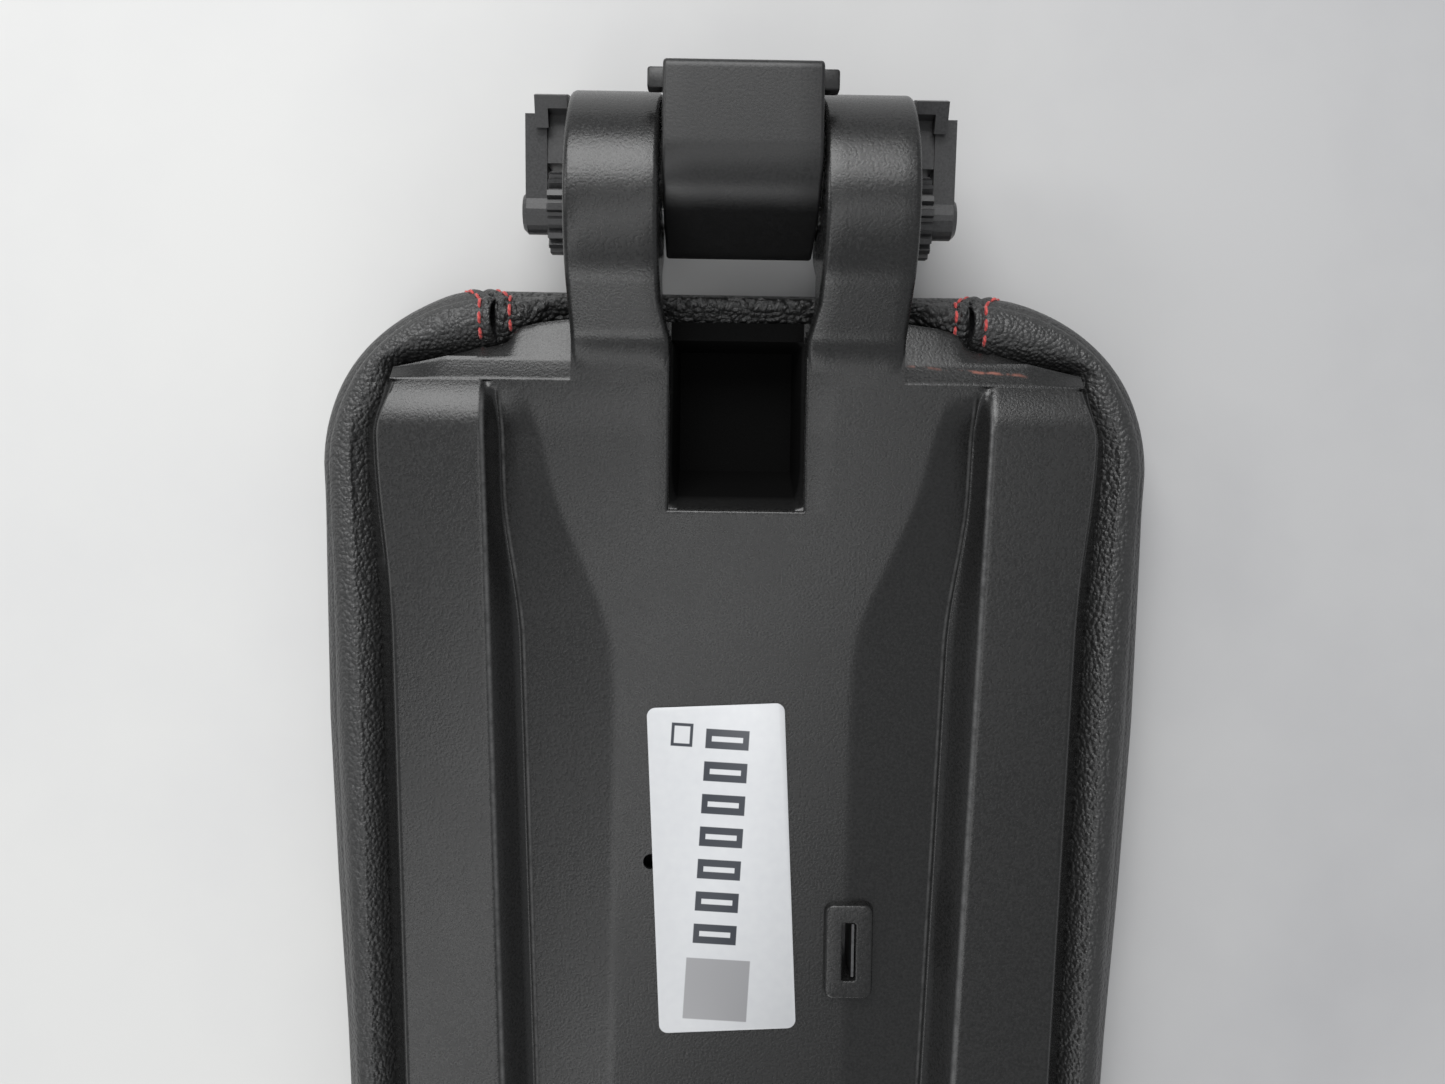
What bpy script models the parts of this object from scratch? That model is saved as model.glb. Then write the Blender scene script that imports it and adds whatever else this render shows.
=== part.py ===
# Console armrest lid, lying on its padded top with its moulded underside facing up.
# Lengths are metres. X runs across the lid, Y runs towards the hinge, Z is up, and the
# origin is on the flat of the padded top, below the middle of the lid.

import bmesh
import bpy
import numpy as np
from mathutils import Matrix, Vector

MM = 0.001
GAP = 0.3 * MM

# Padded top
PAD_REAR_Y = 149.3 * MM
PAD_FRONT_Y = -160.0 * MM
PAD_HALF_REAR = 99.8 * MM
PAD_HALF_FRONT = 89.4 * MM
PAD_CORNER_REAR = 44.0 * MM
PAD_CORNER_FRONT = 34.0 * MM
LEATHER = 1.3 * MM
FOAM_GAP = 0.5 * MM
SEAM_HALF_REAR = 57.0 * MM
SEAM_HALF_FRONT = 50.0 * MM

# Moulded liner
ROLL_WIDTH = 16.6 * MM
FLANGE_REAR_Y = 139.5 * MM
FLANGE_FLAT_HALF = 44.0 * MM
FLANGE_CORNER_DROP = 11.8 * MM
PINCH = 3.6 * MM
LINER_CORNER_FRONT = 15.0 * MM
LINER_WALL = 2.4 * MM
FLANGE_WALL = 2.0 * MM
SKIRT_Z = 28.5 * MM
PLATFORM_Z = 36.0 * MM
PLATEAU_Z = 40.0 * MM
STEP_Z = 36.5 * MM
VALLEY_Z = 33.5 * MM
LIP_Z = 35.4 * MM
LIP_FOOT_Z = 34.8 * MM
LIP_FOOT = 1.2 * MM
STEP_Y = 124.6 * MM
STEP_FOOT_Y = 128.2 * MM
FLANGE_Z = 33.0 * MM
FLANGE_END_Z = 30.7 * MM
PLATEAU_ROLL = 11.5 * MM
PLATEAU_HALF_MID = 53.3 * MM
PLATEAU_TAPER = 0.0379
PLATEAU_SIDE_MARGIN = 2.8 * MM
LIP_NEAR = 3.6 * MM
LIP_FAR = 7.0 * MM
LIP_SWING = (64 * MM, 101 * MM)
SHOULDER_HALF = 27.2 * MM
EDGE_FALL = 9.0 * MM

# Well between the arms
WELL_HALF = 15.5 * MM
WELL_HALF_FLOOR = 13.6 * MM
WELL_FLOOR_Z = 12.0 * MM
WELL_FRONT_Y = 95.8 * MM
WELL_FRONT_FLOOR_Y = 105.0 * MM
WELL_REAR_Y = 134.3 * MM
WELL_SILL_Z = 28.0 * MM
WELL_WALL = 2.4 * MM

# Slotted boss, its clip, the small hole and the label
BOSS_CENTRE = (27.5 * MM, -5.8 * MM)
BOSS_SIZE = (11.0 * MM, 22.0 * MM)
BOSS_TOP_Z = 38.2 * MM
BOSS_CORNER = 2.2 * MM
SLOT_SIZE = (3.2 * MM, 13.6 * MM)
CLIP_STRIP = 0.6 * MM
CLIP_FOOT = 5.0 * MM
HOLE_CENTRE = (-18.5 * MM, 14.2 * MM)
HOLE_RADIUS = 1.8 * MM
LABEL_CENTRE = (-2.1 * MM, 12.8 * MM)
LABEL_SIZE = (31.75 * MM, 76.2 * MM)
LABEL_CORNER = 2.0 * MM
LABEL_TURN = np.radians(2.9)
LABEL_THICK = 0.2 * MM

# Tray under the liner
TRAY_Z = 20.0 * MM
TRAY_WALL = 2.4 * MM
TRAY_RIM = 2.2 * MM

# Hinge
AXIS_Y = 163.6 * MM
AXIS_Z = 29.7 * MM
AXLE_RADIUS = 3.5 * MM
ARM_RADIUS = 26.9 * MM
ARM_OUTER_X = 38.0 * MM
ARM_INNER_X = 17.7 * MM
ARM_CHEEK = 2.5 * MM
ARM_SKIN = 2.6 * MM
ARM_CREASE_Y = 132.6 * MM
ARM_END_ANGLE = np.radians(-38.0)
BUSH_RADIUS = 5.6 * MM
BUSH_FLANGE_RADIUS = 7.2 * MM
BUSH_FLANGE = 0.4 * MM
WASHER_RADIUS = 8.4 * MM
WASHER_THICK = 0.3 * MM
WHEEL_INNER_X = ARM_OUTER_X + GAP + BUSH_FLANGE + GAP + WASHER_THICK + GAP
WHEEL_OUTER_X = WHEEL_INNER_X + 3.8 * MM
WHEEL_TIP_RADIUS = 9.4 * MM
WHEEL_ROOT_RADIUS = 8.1 * MM
WHEEL_TEETH = 18
BOSS_END_X = WHEEL_OUTER_X + 6.2 * MM
AXLE_HALF = BOSS_END_X - 2.0 * MM
BOSS_RADIUS = 4.9 * MM
BOSS_CHAMFER = 1.0 * MM
WEB_OUTER_X = BOSS_END_X - 0.8 * MM
RIM_INNER_X = ARM_OUTER_X + 1.0 * MM
RIM_OUTER_X = WHEEL_OUTER_X + 2.8 * MM
RIM_RADIUS = 26.0 * MM
RIM_DEPTH = 7.0 * MM
RIM_HALF_ANGLE = np.radians(24.0)
RIM_NOTCH = 2.2 * MM
RIB_HALF_DEPTH = 4.6 * MM

# Hinge block, bracket and springs
BLOCK_HALF = 17.0 * MM
BLOCK_WALL = 2.0 * MM
BLOCK_TOP_Z = 57.0 * MM
BLOCK_REAR_Y = AXIS_Y + 27.2 * MM
BLOCK_NOSE_RADIUS = 14.0 * MM
BLOCK_NOSE_Y = AXIS_Y + 10.4 * MM
BLOCK_FRONT_LOW = (AXIS_Y - 9.3 * MM, AXIS_Z - 3.7 * MM)
BLOCK_FOOT = (AXIS_Y - 7.3 * MM, AXIS_Z - 12.7 * MM)
BLOCK_REAR_FOOT_Z = AXIS_Z - 4.7 * MM
LUG_SIZE = 4.4 * MM
LUG_REACH = 3.4 * MM
LUG_CENTRE = (BLOCK_REAR_Y - 3.2 * MM, BLOCK_TOP_Z - 5.4 * MM)
BRACKET_HALF = 14.6 * MM
BRACKET_GAUGE = 2.0 * MM
BRACKET_EYE = 5.3 * MM
BRACKET_BASE_Z = AXIS_Z - 4.3 * MM
BRACKET_REAR_Y = BLOCK_REAR_Y - BLOCK_WALL - 1.2 * MM
BRACKET_TOP_Z = 44.0 * MM
BRACKET_WINDOW_Y = AXIS_Y + BRACKET_EYE + 1.5 * MM
BRACKET_HEAD = 8.0 * MM
SCREW_HOLE = 2.6 * MM
THROAT_WAIST_Y = 141.5 * MM
SPRING_WIRE = 1.4 * MM
SPRING_TURNS = 3.5
SPRING_PITCH = 2.6 * MM

ROUND = 24
SMALL_ROUND = 18
COIL_STEPS = 12

# How far a cutter reaches past what it cuts
CUT_REACH = 60.0 * MM


def clear_scene():
    for old in list(bpy.data.objects):
        bpy.data.objects.remove(old, do_unlink=True)


def material(name, colour, roughness, metallic=0.0):
    made = bpy.data.materials.new(name)
    made.use_nodes = True
    shader = made.node_tree.nodes["Principled BSDF"]
    shader.inputs["Base Color"].default_value = (*colour, 1.0)
    shader.inputs["Roughness"].default_value = roughness
    shader.inputs["Metallic"].default_value = metallic
    made.diffuse_color = (*colour, 1.0)
    return made


def is_bent(face):
    """Whether a face's corners lie off its own plane."""
    middle = face.calc_center_median()
    return any(abs((corner.co - middle).dot(face.normal)) > 0.001 * MM for corner in face.verts)


def make_object(name, points, faces, finish=None, smooth_below=30.0):
    """A closed mesh object of flat faces, turned outwards."""
    mesh = bpy.data.meshes.new(name)
    mesh.from_pydata([tuple(map(float, point)) for point in points], [], faces)
    tidy = bmesh.new()
    tidy.from_mesh(mesh)
    bmesh.ops.remove_doubles(tidy, verts=tidy.verts, dist=0.001 * MM)
    bent = [face for face in tidy.faces if is_bent(face)]
    bmesh.ops.triangulate(tidy, faces=bent)
    bmesh.ops.recalc_face_normals(tidy, faces=tidy.faces)
    tidy.to_mesh(mesh)
    tidy.free()
    mesh.shade_smooth()
    mesh.set_sharp_from_angle(angle=np.radians(smooth_below))
    made = bpy.data.objects.new(name, mesh)
    bpy.context.scene.collection.objects.link(made)
    if finish:
        mesh.materials.append(finish)
    return made


def make_cutter(name, points, faces):
    made = make_object(name, points, faces)
    made.hide_render = True
    made.display_type = "WIRE"
    return made


def combine(target, other, operation):
    """A Boolean left on the target. The other shape stays in the file as a hidden guide."""
    step = target.modifiers.new(operation.title(), "BOOLEAN")
    step.operation = operation
    step.object = other
    other.hide_render = True
    other.display_type = "WIRE"


def lofted(rings, capped=True):
    """Points and faces of a skin over rings that all have the same number of points."""
    rings = [np.asarray(ring, float) for ring in rings]
    count = len(rings[0])
    points = np.concatenate(rings)
    faces = []
    for row in range(len(rings) - 1):
        for here in range(count):
            there = (here + 1) % count
            low = row * count
            high = low + count
            faces.append((low + here, low + there, high + there, high + here))
    if capped:
        faces.append(tuple(range(count))[::-1])
        faces.append(tuple(range(len(points) - count, len(points))))
    return points, faces


def prism_x(outline, low, high):
    """An outline of (y, z) points carried from x = low to x = high."""
    outline = np.asarray(outline, float)
    rings = []
    for x in (low, high):
        rings.append(np.column_stack([np.full(len(outline), x), outline]))
    return lofted(rings)


def prism_z(outline, low, high):
    """An outline of (x, y) points carried from z = low to z = high."""
    outline = np.asarray(outline, float)
    rings = []
    for z in (low, high):
        rings.append(np.column_stack([outline, np.full(len(outline), z)]))
    return lofted(rings)


def turned_x(profile, closed=False, steps=ROUND):
    """A profile of (x, radius) points turned about the hinge axis."""
    turns = np.arange(steps) * 2 * np.pi / steps
    rings = []
    for x, radius in profile:
        ring = np.empty((steps, 3))
        ring[:, 0] = x
        ring[:, 1] = AXIS_Y + radius * np.cos(turns)
        ring[:, 2] = AXIS_Z + radius * np.sin(turns)
        rings.append(ring)
    if closed:
        rings.append(rings[0])
    return lofted(rings, capped=not closed)


def arc(centre, radius, start, end, steps):
    """Points on an arc, by angle."""
    turns = np.linspace(start, end, steps + 1)
    return np.column_stack([centre[0] + radius * np.cos(turns), centre[1] + radius * np.sin(turns)])


def rounded_rectangle(centre, size, corner, turn=0.0, steps=4):
    """A rectangle with round corners, turned about its centre."""
    half = np.array(size) / 2 - corner
    corners = []
    for index, (side_x, side_y) in enumerate([(1, 1), (-1, 1), (-1, -1), (1, -1)]):
        middle = (side_x * half[0], side_y * half[1])
        start = index * np.pi / 2
        corners.append(arc(middle, corner, start, start + np.pi / 2, steps))
    flat = np.concatenate(corners)
    spin = np.array([[np.cos(turn), np.sin(turn)], [-np.sin(turn), np.cos(turn)]])
    return flat @ spin + np.array(centre)


def smooth_step(value, low, high):
    share = np.clip((np.asarray(value, float) - low) / (high - low), 0.0, 1.0)
    return share * share * (3 - 2 * share)


# Outlines seen from above


def pad_half(y):
    """Half the width of the padded top, between its corners."""
    share = (y - PAD_FRONT_Y) / (PAD_REAR_Y - PAD_FRONT_Y)
    return PAD_HALF_FRONT + (PAD_HALF_REAR - PAD_HALF_FRONT) * share


PINCH_START_Y = STEP_Y - 13 * MM
FLANGE_CORNER_Y = FLANGE_REAR_Y - FLANGE_CORNER_DROP
LINER_FRONT_Y = PAD_FRONT_Y + ROLL_WIDTH


def liner_half(y):
    """Half the width of the liner: it follows the pad, and draws in at its rear corners."""
    pinch = PINCH * smooth_step(y, PINCH_START_Y, STEP_Y + 2 * MM)
    depth = np.clip(LINER_FRONT_Y + LINER_CORNER_FRONT - y, 0, LINER_CORNER_FRONT)
    corner = LINER_CORNER_FRONT - np.sqrt(LINER_CORNER_FRONT**2 - depth**2)
    return pad_half(y) - ROLL_WIDTH - pinch - corner


def flange_rear(x):
    """The liner's rear edge: straight between the arms, falling back to its outer corners."""
    span = liner_half(FLANGE_CORNER_Y) - FLANGE_FLAT_HALF
    share = np.clip((np.abs(x) - FLANGE_FLAT_HALF) / span, 0.0, 1.0)
    return FLANGE_REAR_Y - FLANGE_CORNER_DROP * share**0.62


def mirrored(half):
    """A closed ring from its half, which runs from the front centre to the rear centre."""
    other = half[-2:0:-1] * np.array([-1.0, 1.0])
    return np.concatenate([half, other])


FRONT_POINTS = 3
SIDE_POINTS = 5
CORNER_POINTS = 7
REAR_POINTS = 6


def pad_ring(inset):
    """The pad's outline, drawn in by inset."""
    front = PAD_FRONT_Y + inset
    rear = PAD_REAR_Y - inset
    radius_f = max(PAD_CORNER_FRONT - inset, 2 * MM)
    radius_r = max(PAD_CORNER_REAR - inset, 2 * MM)
    front_x = pad_half(front) - inset - radius_f
    rear_x = pad_half(rear) - inset - radius_r
    front_edge = np.linspace((0, front), (front_x, front), FRONT_POINTS)
    front_arc = arc((front_x, front + radius_f), radius_f, -np.pi / 2, 0, CORNER_POINTS)
    rear_arc = arc((rear_x, rear - radius_r), radius_r, 0, np.pi / 2, CORNER_POINTS)
    rear_edge = np.linspace((rear_x, rear), (0, rear), REAR_POINTS)
    side = np.linspace(front_arc[-1], rear_arc[0], SIDE_POINTS)
    half = np.concatenate([front_edge[:-1], front_arc[:-1], side[:-1], rear_arc, rear_edge[1:]])
    return mirrored(half)


def liner_ring(outset):
    """The liner's outline, pushed out by outset, with the same points as the pad's outline."""
    corner_y = LINER_FRONT_Y + LINER_CORNER_FRONT
    front_x = liner_half(corner_y) - LINER_CORNER_FRONT
    front_edge = np.linspace((0, LINER_FRONT_Y), (front_x, LINER_FRONT_Y), FRONT_POINTS)
    front_arc = arc((front_x, corner_y), LINER_CORNER_FRONT, -np.pi / 2, 0, CORNER_POINTS)
    side_y = np.linspace(corner_y, PINCH_START_Y, SIDE_POINTS)
    side = np.column_stack([liner_half(side_y), side_y])
    pinch_y = np.linspace(PINCH_START_Y, FLANGE_CORNER_Y, CORNER_POINTS + 1)
    pinch = np.column_stack([liner_half(pinch_y), pinch_y])
    share = np.linspace(1.0, 0.0, REAR_POINTS) ** 0.8
    rear_x = liner_half(FLANGE_CORNER_Y) * share
    rear = np.column_stack([rear_x, flange_rear(rear_x)])
    half = np.concatenate([front_edge[:-1], front_arc[:-1], side[:-1], pinch, rear[1:]])
    ring = mirrored(half)
    along = np.roll(ring, -1, axis=0) - np.roll(ring, 1, axis=0)
    out = np.column_stack([along[:, 1], -along[:, 0]])
    out /= np.linalg.norm(out, axis=1)[:, None]
    return ring + out * outset


# Padded cover. Each line is how far in from the pad's outline, how high, and how much the
# ring follows the liner's outline in place of the pad's.
COVER_PROFILE = np.array(
    [
        (34.0 * MM, 0.0 * MM, 0.0),
        (24.0 * MM, 0.4 * MM, 0.0),
        (14.0 * MM, 2.0 * MM, 0.0),
        (6.5 * MM, 5.6 * MM, 0.0),
        (2.0 * MM, 11.0 * MM, 0.0),
        (0.0 * MM, 18.0 * MM, 0.0),
        (0.6 * MM, 22.4 * MM, 0.0),
        (2.6 * MM, 25.2 * MM, 0.0),
        (3.8 * MM, 25.8 * MM, 0.0),
        (4.5 * MM, 28.4 * MM, 0.0),
        (6.6 * MM, 30.7 * MM, 0.25),
        (9.6 * MM, 31.4 * MM, 0.55),
        (12.8 * MM, 30.4 * MM, 0.85),
        (15.2 * MM, 28.0 * MM, 1.0),
        (15.9 * MM, 26.0 * MM, 1.0),
    ]
)


def inner_profile(depth):
    """The cover's profile, moved inwards by depth at right angles to the leather."""
    run = np.gradient(COVER_PROFILE[:, 0])
    rise = np.gradient(COVER_PROFILE[:, 1])
    rise[0] = 0.0
    length = np.hypot(run, rise)
    moved = COVER_PROFILE.copy()
    moved[:, 0] += depth * rise / length
    moved[:, 1] -= depth * run / length
    return moved


GROOVE_ROW = 9
ROLL_FLOOR_Z = 25.2 * MM


def roll_core(depth, low):
    """The inner side of the cover: one wall in up to the groove, then level below the
    solid roll, to the point where the leather is tucked under the liner."""
    rows = inner_profile(depth)
    rows[:, 1] = np.minimum(rows[:, 1], low)
    return np.concatenate([rows[:GROOVE_ROW], [(rows[-1, 0], low, 1.0)]])


def profile_rings(profile):
    rings = []
    for inset, height, share in profile:
        flat = (1 - share) * pad_ring(inset) + share * liner_ring(ROLL_WIDTH - inset)
        rings.append(np.column_stack([flat, np.full(len(flat), height)]))
    return rings


def seam_half(y):
    share = (y - PAD_FRONT_Y) / (PAD_REAR_Y - PAD_FRONT_Y)
    return SEAM_HALF_FRONT + (SEAM_HALF_REAR - SEAM_HALF_FRONT) * share


def make_cover(centre_finish, side_finish):
    """Three sewn leather panels: the whole skin, cut along the two long seams."""
    outer = profile_rings(COVER_PROFILE)
    inner = profile_rings(roll_core(LEATHER, ROLL_FLOOR_Z))
    skin = lofted(outer + inner[::-1])
    reach = 200 * MM
    ends = np.array([-reach, reach])
    seam = seam_half(ends)
    middle = [(-seam[0], ends[0]), (seam[0], ends[0]), (seam[1], ends[1]), (-seam[1], ends[1])]
    inside = np.array(middle) - np.array([(-1, 0), (1, 0), (1, 0), (-1, 0)]) * GAP / 2
    for name, side, finish in (
        ("cover_centre", 0, centre_finish),
        ("cover_left", -1, side_finish),
        ("cover_right", 1, side_finish),
    ):
        panel = make_object(name, *skin, finish)
        if side == 0:
            outline = inside
        else:
            near = side * (seam + GAP / 2)
            far = side * reach
            outline = [(near[0], ends[0]), (far, ends[0]), (far, ends[1]), (near[1], ends[1])]
        cutter = make_cutter(name + "_cut", *prism_z(outline, -CUT_REACH, CUT_REACH))
        combine(panel, cutter, "INTERSECT")


def well_rings(margin, low, high, rear_extra=0.0):
    """Level rings of the well: its side walls have draft, and its front wall slopes."""
    rings = []
    for z in (low, high):
        share = (z - WELL_FLOOR_Z) / (PLATFORM_Z - WELL_FLOOR_Z)
        half = WELL_HALF_FLOOR + (WELL_HALF - WELL_HALF_FLOOR) * share + margin
        front = WELL_FRONT_FLOOR_Y + (WELL_FRONT_Y - WELL_FRONT_FLOOR_Y) * share - margin
        rear = WELL_REAR_Y + rear_extra
        rings.append(np.array([(-half, front, z), (half, front, z), (half, rear, z), (-half, rear, z)]))
    return rings


WELL_BACK = FLANGE_REAR_Y - WELL_REAR_Y


def make_foam(finish):
    """One foam block that fills the cover up to the tray, with a recess for the well."""
    lip = ROLL_WIDTH - GAP
    rim_top = ROLL_FLOOR_Z - FOAM_GAP
    rings = profile_rings(roll_core(LEATHER + FOAM_GAP, rim_top))
    rings += profile_rings([(lip, rim_top, 1.0), (lip, TRAY_Z - GAP, 1.0)])
    foam = make_object("foam_pad", *lofted(rings), finish)
    margin = WELL_WALL + GAP
    recess = lofted(well_rings(margin, WELL_FLOOR_Z - margin, PLATFORM_Z, WELL_BACK + GAP))
    combine(foam, make_cutter("foam_recess", *recess), "DIFFERENCE")


def make_tray(finish):
    """A shallow tray: a plate with an upturned rim, notched for the well."""
    outer = ROLL_WIDTH + GAP
    inner = outer + TRAY_RIM
    top = SKIRT_Z - GAP
    floor = TRAY_Z + TRAY_WALL
    profile = [(outer, TRAY_Z, 1.0), (outer, top, 1.0), (inner, top, 1.0), (inner, floor, 1.0)]
    tray = make_object("carrier_tray", *lofted(profile_rings(profile)), finish)
    notch = lofted(well_rings(WELL_WALL + GAP, TRAY_Z - 5 * MM, PLATFORM_Z + 5 * MM, WELL_BACK + 5 * MM))
    combine(tray, make_cutter("tray_notch", *notch), "DIFFERENCE")


# Liner


def plateau_half(y):
    return PLATEAU_HALF_MID + PLATEAU_TAPER * y


def lip_half(y):
    """The lip runs close beside the plateau at the rear, then swings away from it."""
    away = smooth_step(-y, -LIP_SWING[1], -LIP_SWING[0])
    return plateau_half(y) - LIP_NEAR - (LIP_FAR - LIP_NEAR) * away


def shoulder_half(y):
    """The edge of the middle platform: wide at the arms, waisted in to a steady width."""
    places = [62 * MM, 71 * MM, 85 * MM, 100 * MM, 113 * MM, 124 * MM]
    halves = [SHOULDER_HALF, 29.3 * MM, 36 * MM, 42.6 * MM, 45.6 * MM, 49.2 * MM]
    return np.interp(y, places, halves)


def plateau_height(y):
    """The plateau is level, and rolls down to the step at the rear and to the front edge."""
    back = np.clip((y - (STEP_Y - PLATEAU_ROLL)) / PLATEAU_ROLL, 0, 1) ** 2
    front = np.clip((LINER_FRONT_Y + EDGE_FALL - y) / EDGE_FALL, 0, 1) ** 2
    return PLATEAU_Z - (PLATEAU_Z - STEP_Z) * np.maximum(back, front)


def liner_columns(y):
    """Half a cross-section of the liner's upper face at one y, as (x, z) from the middle out."""
    plateau = plateau_half(y)
    lip = lip_half(y)
    shoulder = min(shoulder_half(y), lip - 4.5 * MM)
    edge = liner_half(y)
    top = plateau_height(y)
    close = smooth_step(y, STEP_Y - 2.6 * MM, STEP_Y - 0.8 * MM)
    valley = VALLEY_Z + (STEP_Z - VALLEY_Z) * smooth_step(y, 112 * MM, STEP_Y - 1 * MM)
    foot = LIP_FOOT_Z + (STEP_Z - LIP_FOOT_Z) * close
    crest = LIP_Z + (STEP_Z - LIP_Z) * close
    platform = PLATFORM_Z + (STEP_Z - PLATFORM_Z) * smooth_step(y, 112 * MM, STEP_Y)
    outer = edge - PLATEAU_SIDE_MARGIN
    knee = min(ARM_OUTER_X, shoulder - 6 * MM)
    return [
        (0.0, platform),
        (knee * 0.5, platform),
        (min(shoulder - 5.0 * MM, ARM_OUTER_X - 0.4 * MM), platform),
        (min(shoulder - 1.0 * MM, ARM_OUTER_X + 0.6 * MM), platform - 0.2 * (platform - valley)),
        (min((shoulder + lip) / 2, lip - 3.2 * MM), valley + 0.38 * (platform - valley)),
        (lip - 2.4 * MM, valley),
        (lip - 1.1 * MM, crest - 0.5 * MM * (1 - close)),
        (lip, crest),
        (lip + LIP_FOOT, foot),
        (plateau - 0.2 * MM, top - 0.5 * MM),
        (plateau + 0.6 * MM, top),
        (outer - 1.4 * MM, top),
        (outer, top - 0.8 * MM),
        (edge - 0.5 * MM, FLANGE_END_Z),
        (edge, SKIRT_Z),
    ]


LINER_STATIONS = [
    LINER_FRONT_Y + 1.6 * MM,
    LINER_FRONT_Y + 5.6 * MM,
    LINER_FRONT_Y + EDGE_FALL,
    LINER_FRONT_Y + LINER_CORNER_FRONT,
    -90 * MM,
    -40 * MM,
    10 * MM,
    55 * MM,
    67 * MM,
    76 * MM,
    86 * MM,
    96 * MM,
    106 * MM,
    PINCH_START_Y,
    STEP_Y - 7.5 * MM,
    STEP_Y - 3.2 * MM,
    STEP_Y - 1.4 * MM,
    STEP_Y,
]


def liner_rows(drop):
    """Rows of half sections from the front edge to the rear flange. With a drop they give
    the liner's under face instead, one wall lower and its skirts one wall further in."""
    rows = []
    for y in LINER_STATIONS:
        rows.append([(x, y, z) for x, z in liner_columns(y)])
    skirt = rows[0]
    front = []
    for inset, height in ((0.0, SKIRT_Z), (0.5 * MM, FLANGE_END_Z)):
        front.append([(x, LINER_FRONT_Y + inset, min(height, z)) for x, _, z in skirt])
    rows = front + rows
    last = rows[-1]
    foot = []
    end = []
    for x, _, z in last:
        under_arm = x < ARM_OUTER_X
        beyond = z < STEP_Z - 2 * MM
        foot_y = ARM_CREASE_Y if under_arm else min(STEP_FOOT_Y, flange_rear(x) - 0.4 * MM)
        foot_z = STEP_Z if under_arm else min(z, FLANGE_Z)
        foot.append((x, foot_y, foot_z))
        end.append((x, flange_rear(x), z if beyond else FLANGE_END_Z))
    rows += [foot, end]
    if drop:
        rows = lowered(rows, drop)
    return rows


def lowered(rows, drop):
    """The under face: each point one wall down, and the skirts one wall in."""
    under = []
    for index, row in enumerate(rows):
        new_row = []
        for column, (x, y, z) in enumerate(row):
            wall = FLANGE_WALL if index == len(rows) - 1 else drop
            x_new = x - drop if column >= len(row) - 4 else x
            y_new = y + drop if index < 3 else y
            low = max(z - wall, SKIRT_Z)
            new_row.append((x_new, y_new, low))
        under.append(new_row)
    return under


def full_width(rows):
    """Both halves of each row, from the left edge to the right edge."""
    grid = []
    for row in rows:
        row = np.array(row)
        left = row[:0:-1] * np.array([-1.0, 1.0, 1.0])
        grid.append(np.concatenate([left, row]))
    return np.array(grid)


def make_shell():
    """The liner's plate: the upper and under faces, closed round their edge."""
    upper = full_width(liner_rows(0.0))
    under = full_width(liner_rows(LINER_WALL))
    rows, columns, _ = upper.shape
    points = np.concatenate([upper.reshape(-1, 3), under.reshape(-1, 3)])
    shift = rows * columns
    faces = []
    for row in range(rows - 1):
        for column in range(columns - 1):
            a = row * columns + column
            b = a + 1
            c = b + columns
            d = a + columns
            faces.append((a, b, c, d))
            faces.append((a + shift, d + shift, c + shift, b + shift))
    rim = [column for column in range(columns)]
    rim += [row * columns + columns - 1 for row in range(1, rows)]
    rim += [(rows - 1) * columns + column for column in range(columns - 2, -1, -1)]
    rim += [row * columns for row in range(rows - 2, 0, -1)]
    for here, there in zip(rim, rim[1:] + rim[:1]):
        faces.append((there, here, here + shift, there + shift))
    return points, faces


def arm_outline():
    """An arm from the side, as (y, z): up from the liner in a fillet, straight, then round
    the hinge axis, and back along the lower edge of its cheeks."""
    axis = (AXIS_Y, AXIS_Z)
    crease = np.array([ARM_CREASE_Y, STEP_Z])
    to_crease = crease - np.array(axis)
    bearing = np.arctan2(to_crease[1], to_crease[0])
    start = bearing - np.arccos(ARM_RADIUS / np.hypot(*to_crease))
    over = arc(axis, ARM_RADIUS, start, ARM_END_ANGLE, 14)
    slope = (over[0] - crease) / np.linalg.norm(over[0] - crease)
    level = np.array([1.0, 0.0])
    run = 5.0 * MM
    share = np.linspace(0, 1, 5)[:, None]
    fillet = (1 - share) ** 2 * (crease - level * run)
    fillet = fillet + 2 * share * (1 - share) * crease + share**2 * (crease + slope * run)
    below = [
        (AXIS_Y + 17.0 * MM, AXIS_Z - 16.5 * MM),
        (AXIS_Y + 8.0 * MM, AXIS_Z - 13.0 * MM),
        (AXIS_Y - 1.0 * MM, AXIS_Z - 11.5 * MM),
        (AXIS_Y - 9.0 * MM, AXIS_Z - 8.0 * MM),
        (AXIS_Y - 12.2 * MM, AXIS_Z - 2.0 * MM),
        (AXIS_Y - 13.8 * MM, SKIRT_Z + 3.6 * MM),
        (PAD_REAR_Y - 3.4 * MM, SKIRT_Z + 4.9 * MM),
        (FLANGE_REAR_Y - 0.2 * MM, SKIRT_Z + 4.9 * MM),
        (FLANGE_REAR_Y - 1.0 * MM, SKIRT_Z + 1.2 * MM),
        (STEP_FOOT_Y, STEP_Z - 1.4 * MM),
    ]
    return np.concatenate([fillet, over, below]), start


def arm_cavity(start):
    """The hollow between an arm's two cheeks, open below and at the end."""
    axis = (AXIS_Y, AXIS_Z)
    inner = arc(axis, ARM_RADIUS - ARM_SKIN, start - 0.05, ARM_END_ANGLE - 0.15, 12)
    front_y = FLANGE_REAR_Y + 2.0 * MM
    low = AXIS_Z - 40 * MM
    below = [(AXIS_Y + 30 * MM, low), (front_y, low), (front_y, AXIS_Z + 12 * MM)]
    return np.concatenate([inner, below])


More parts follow.
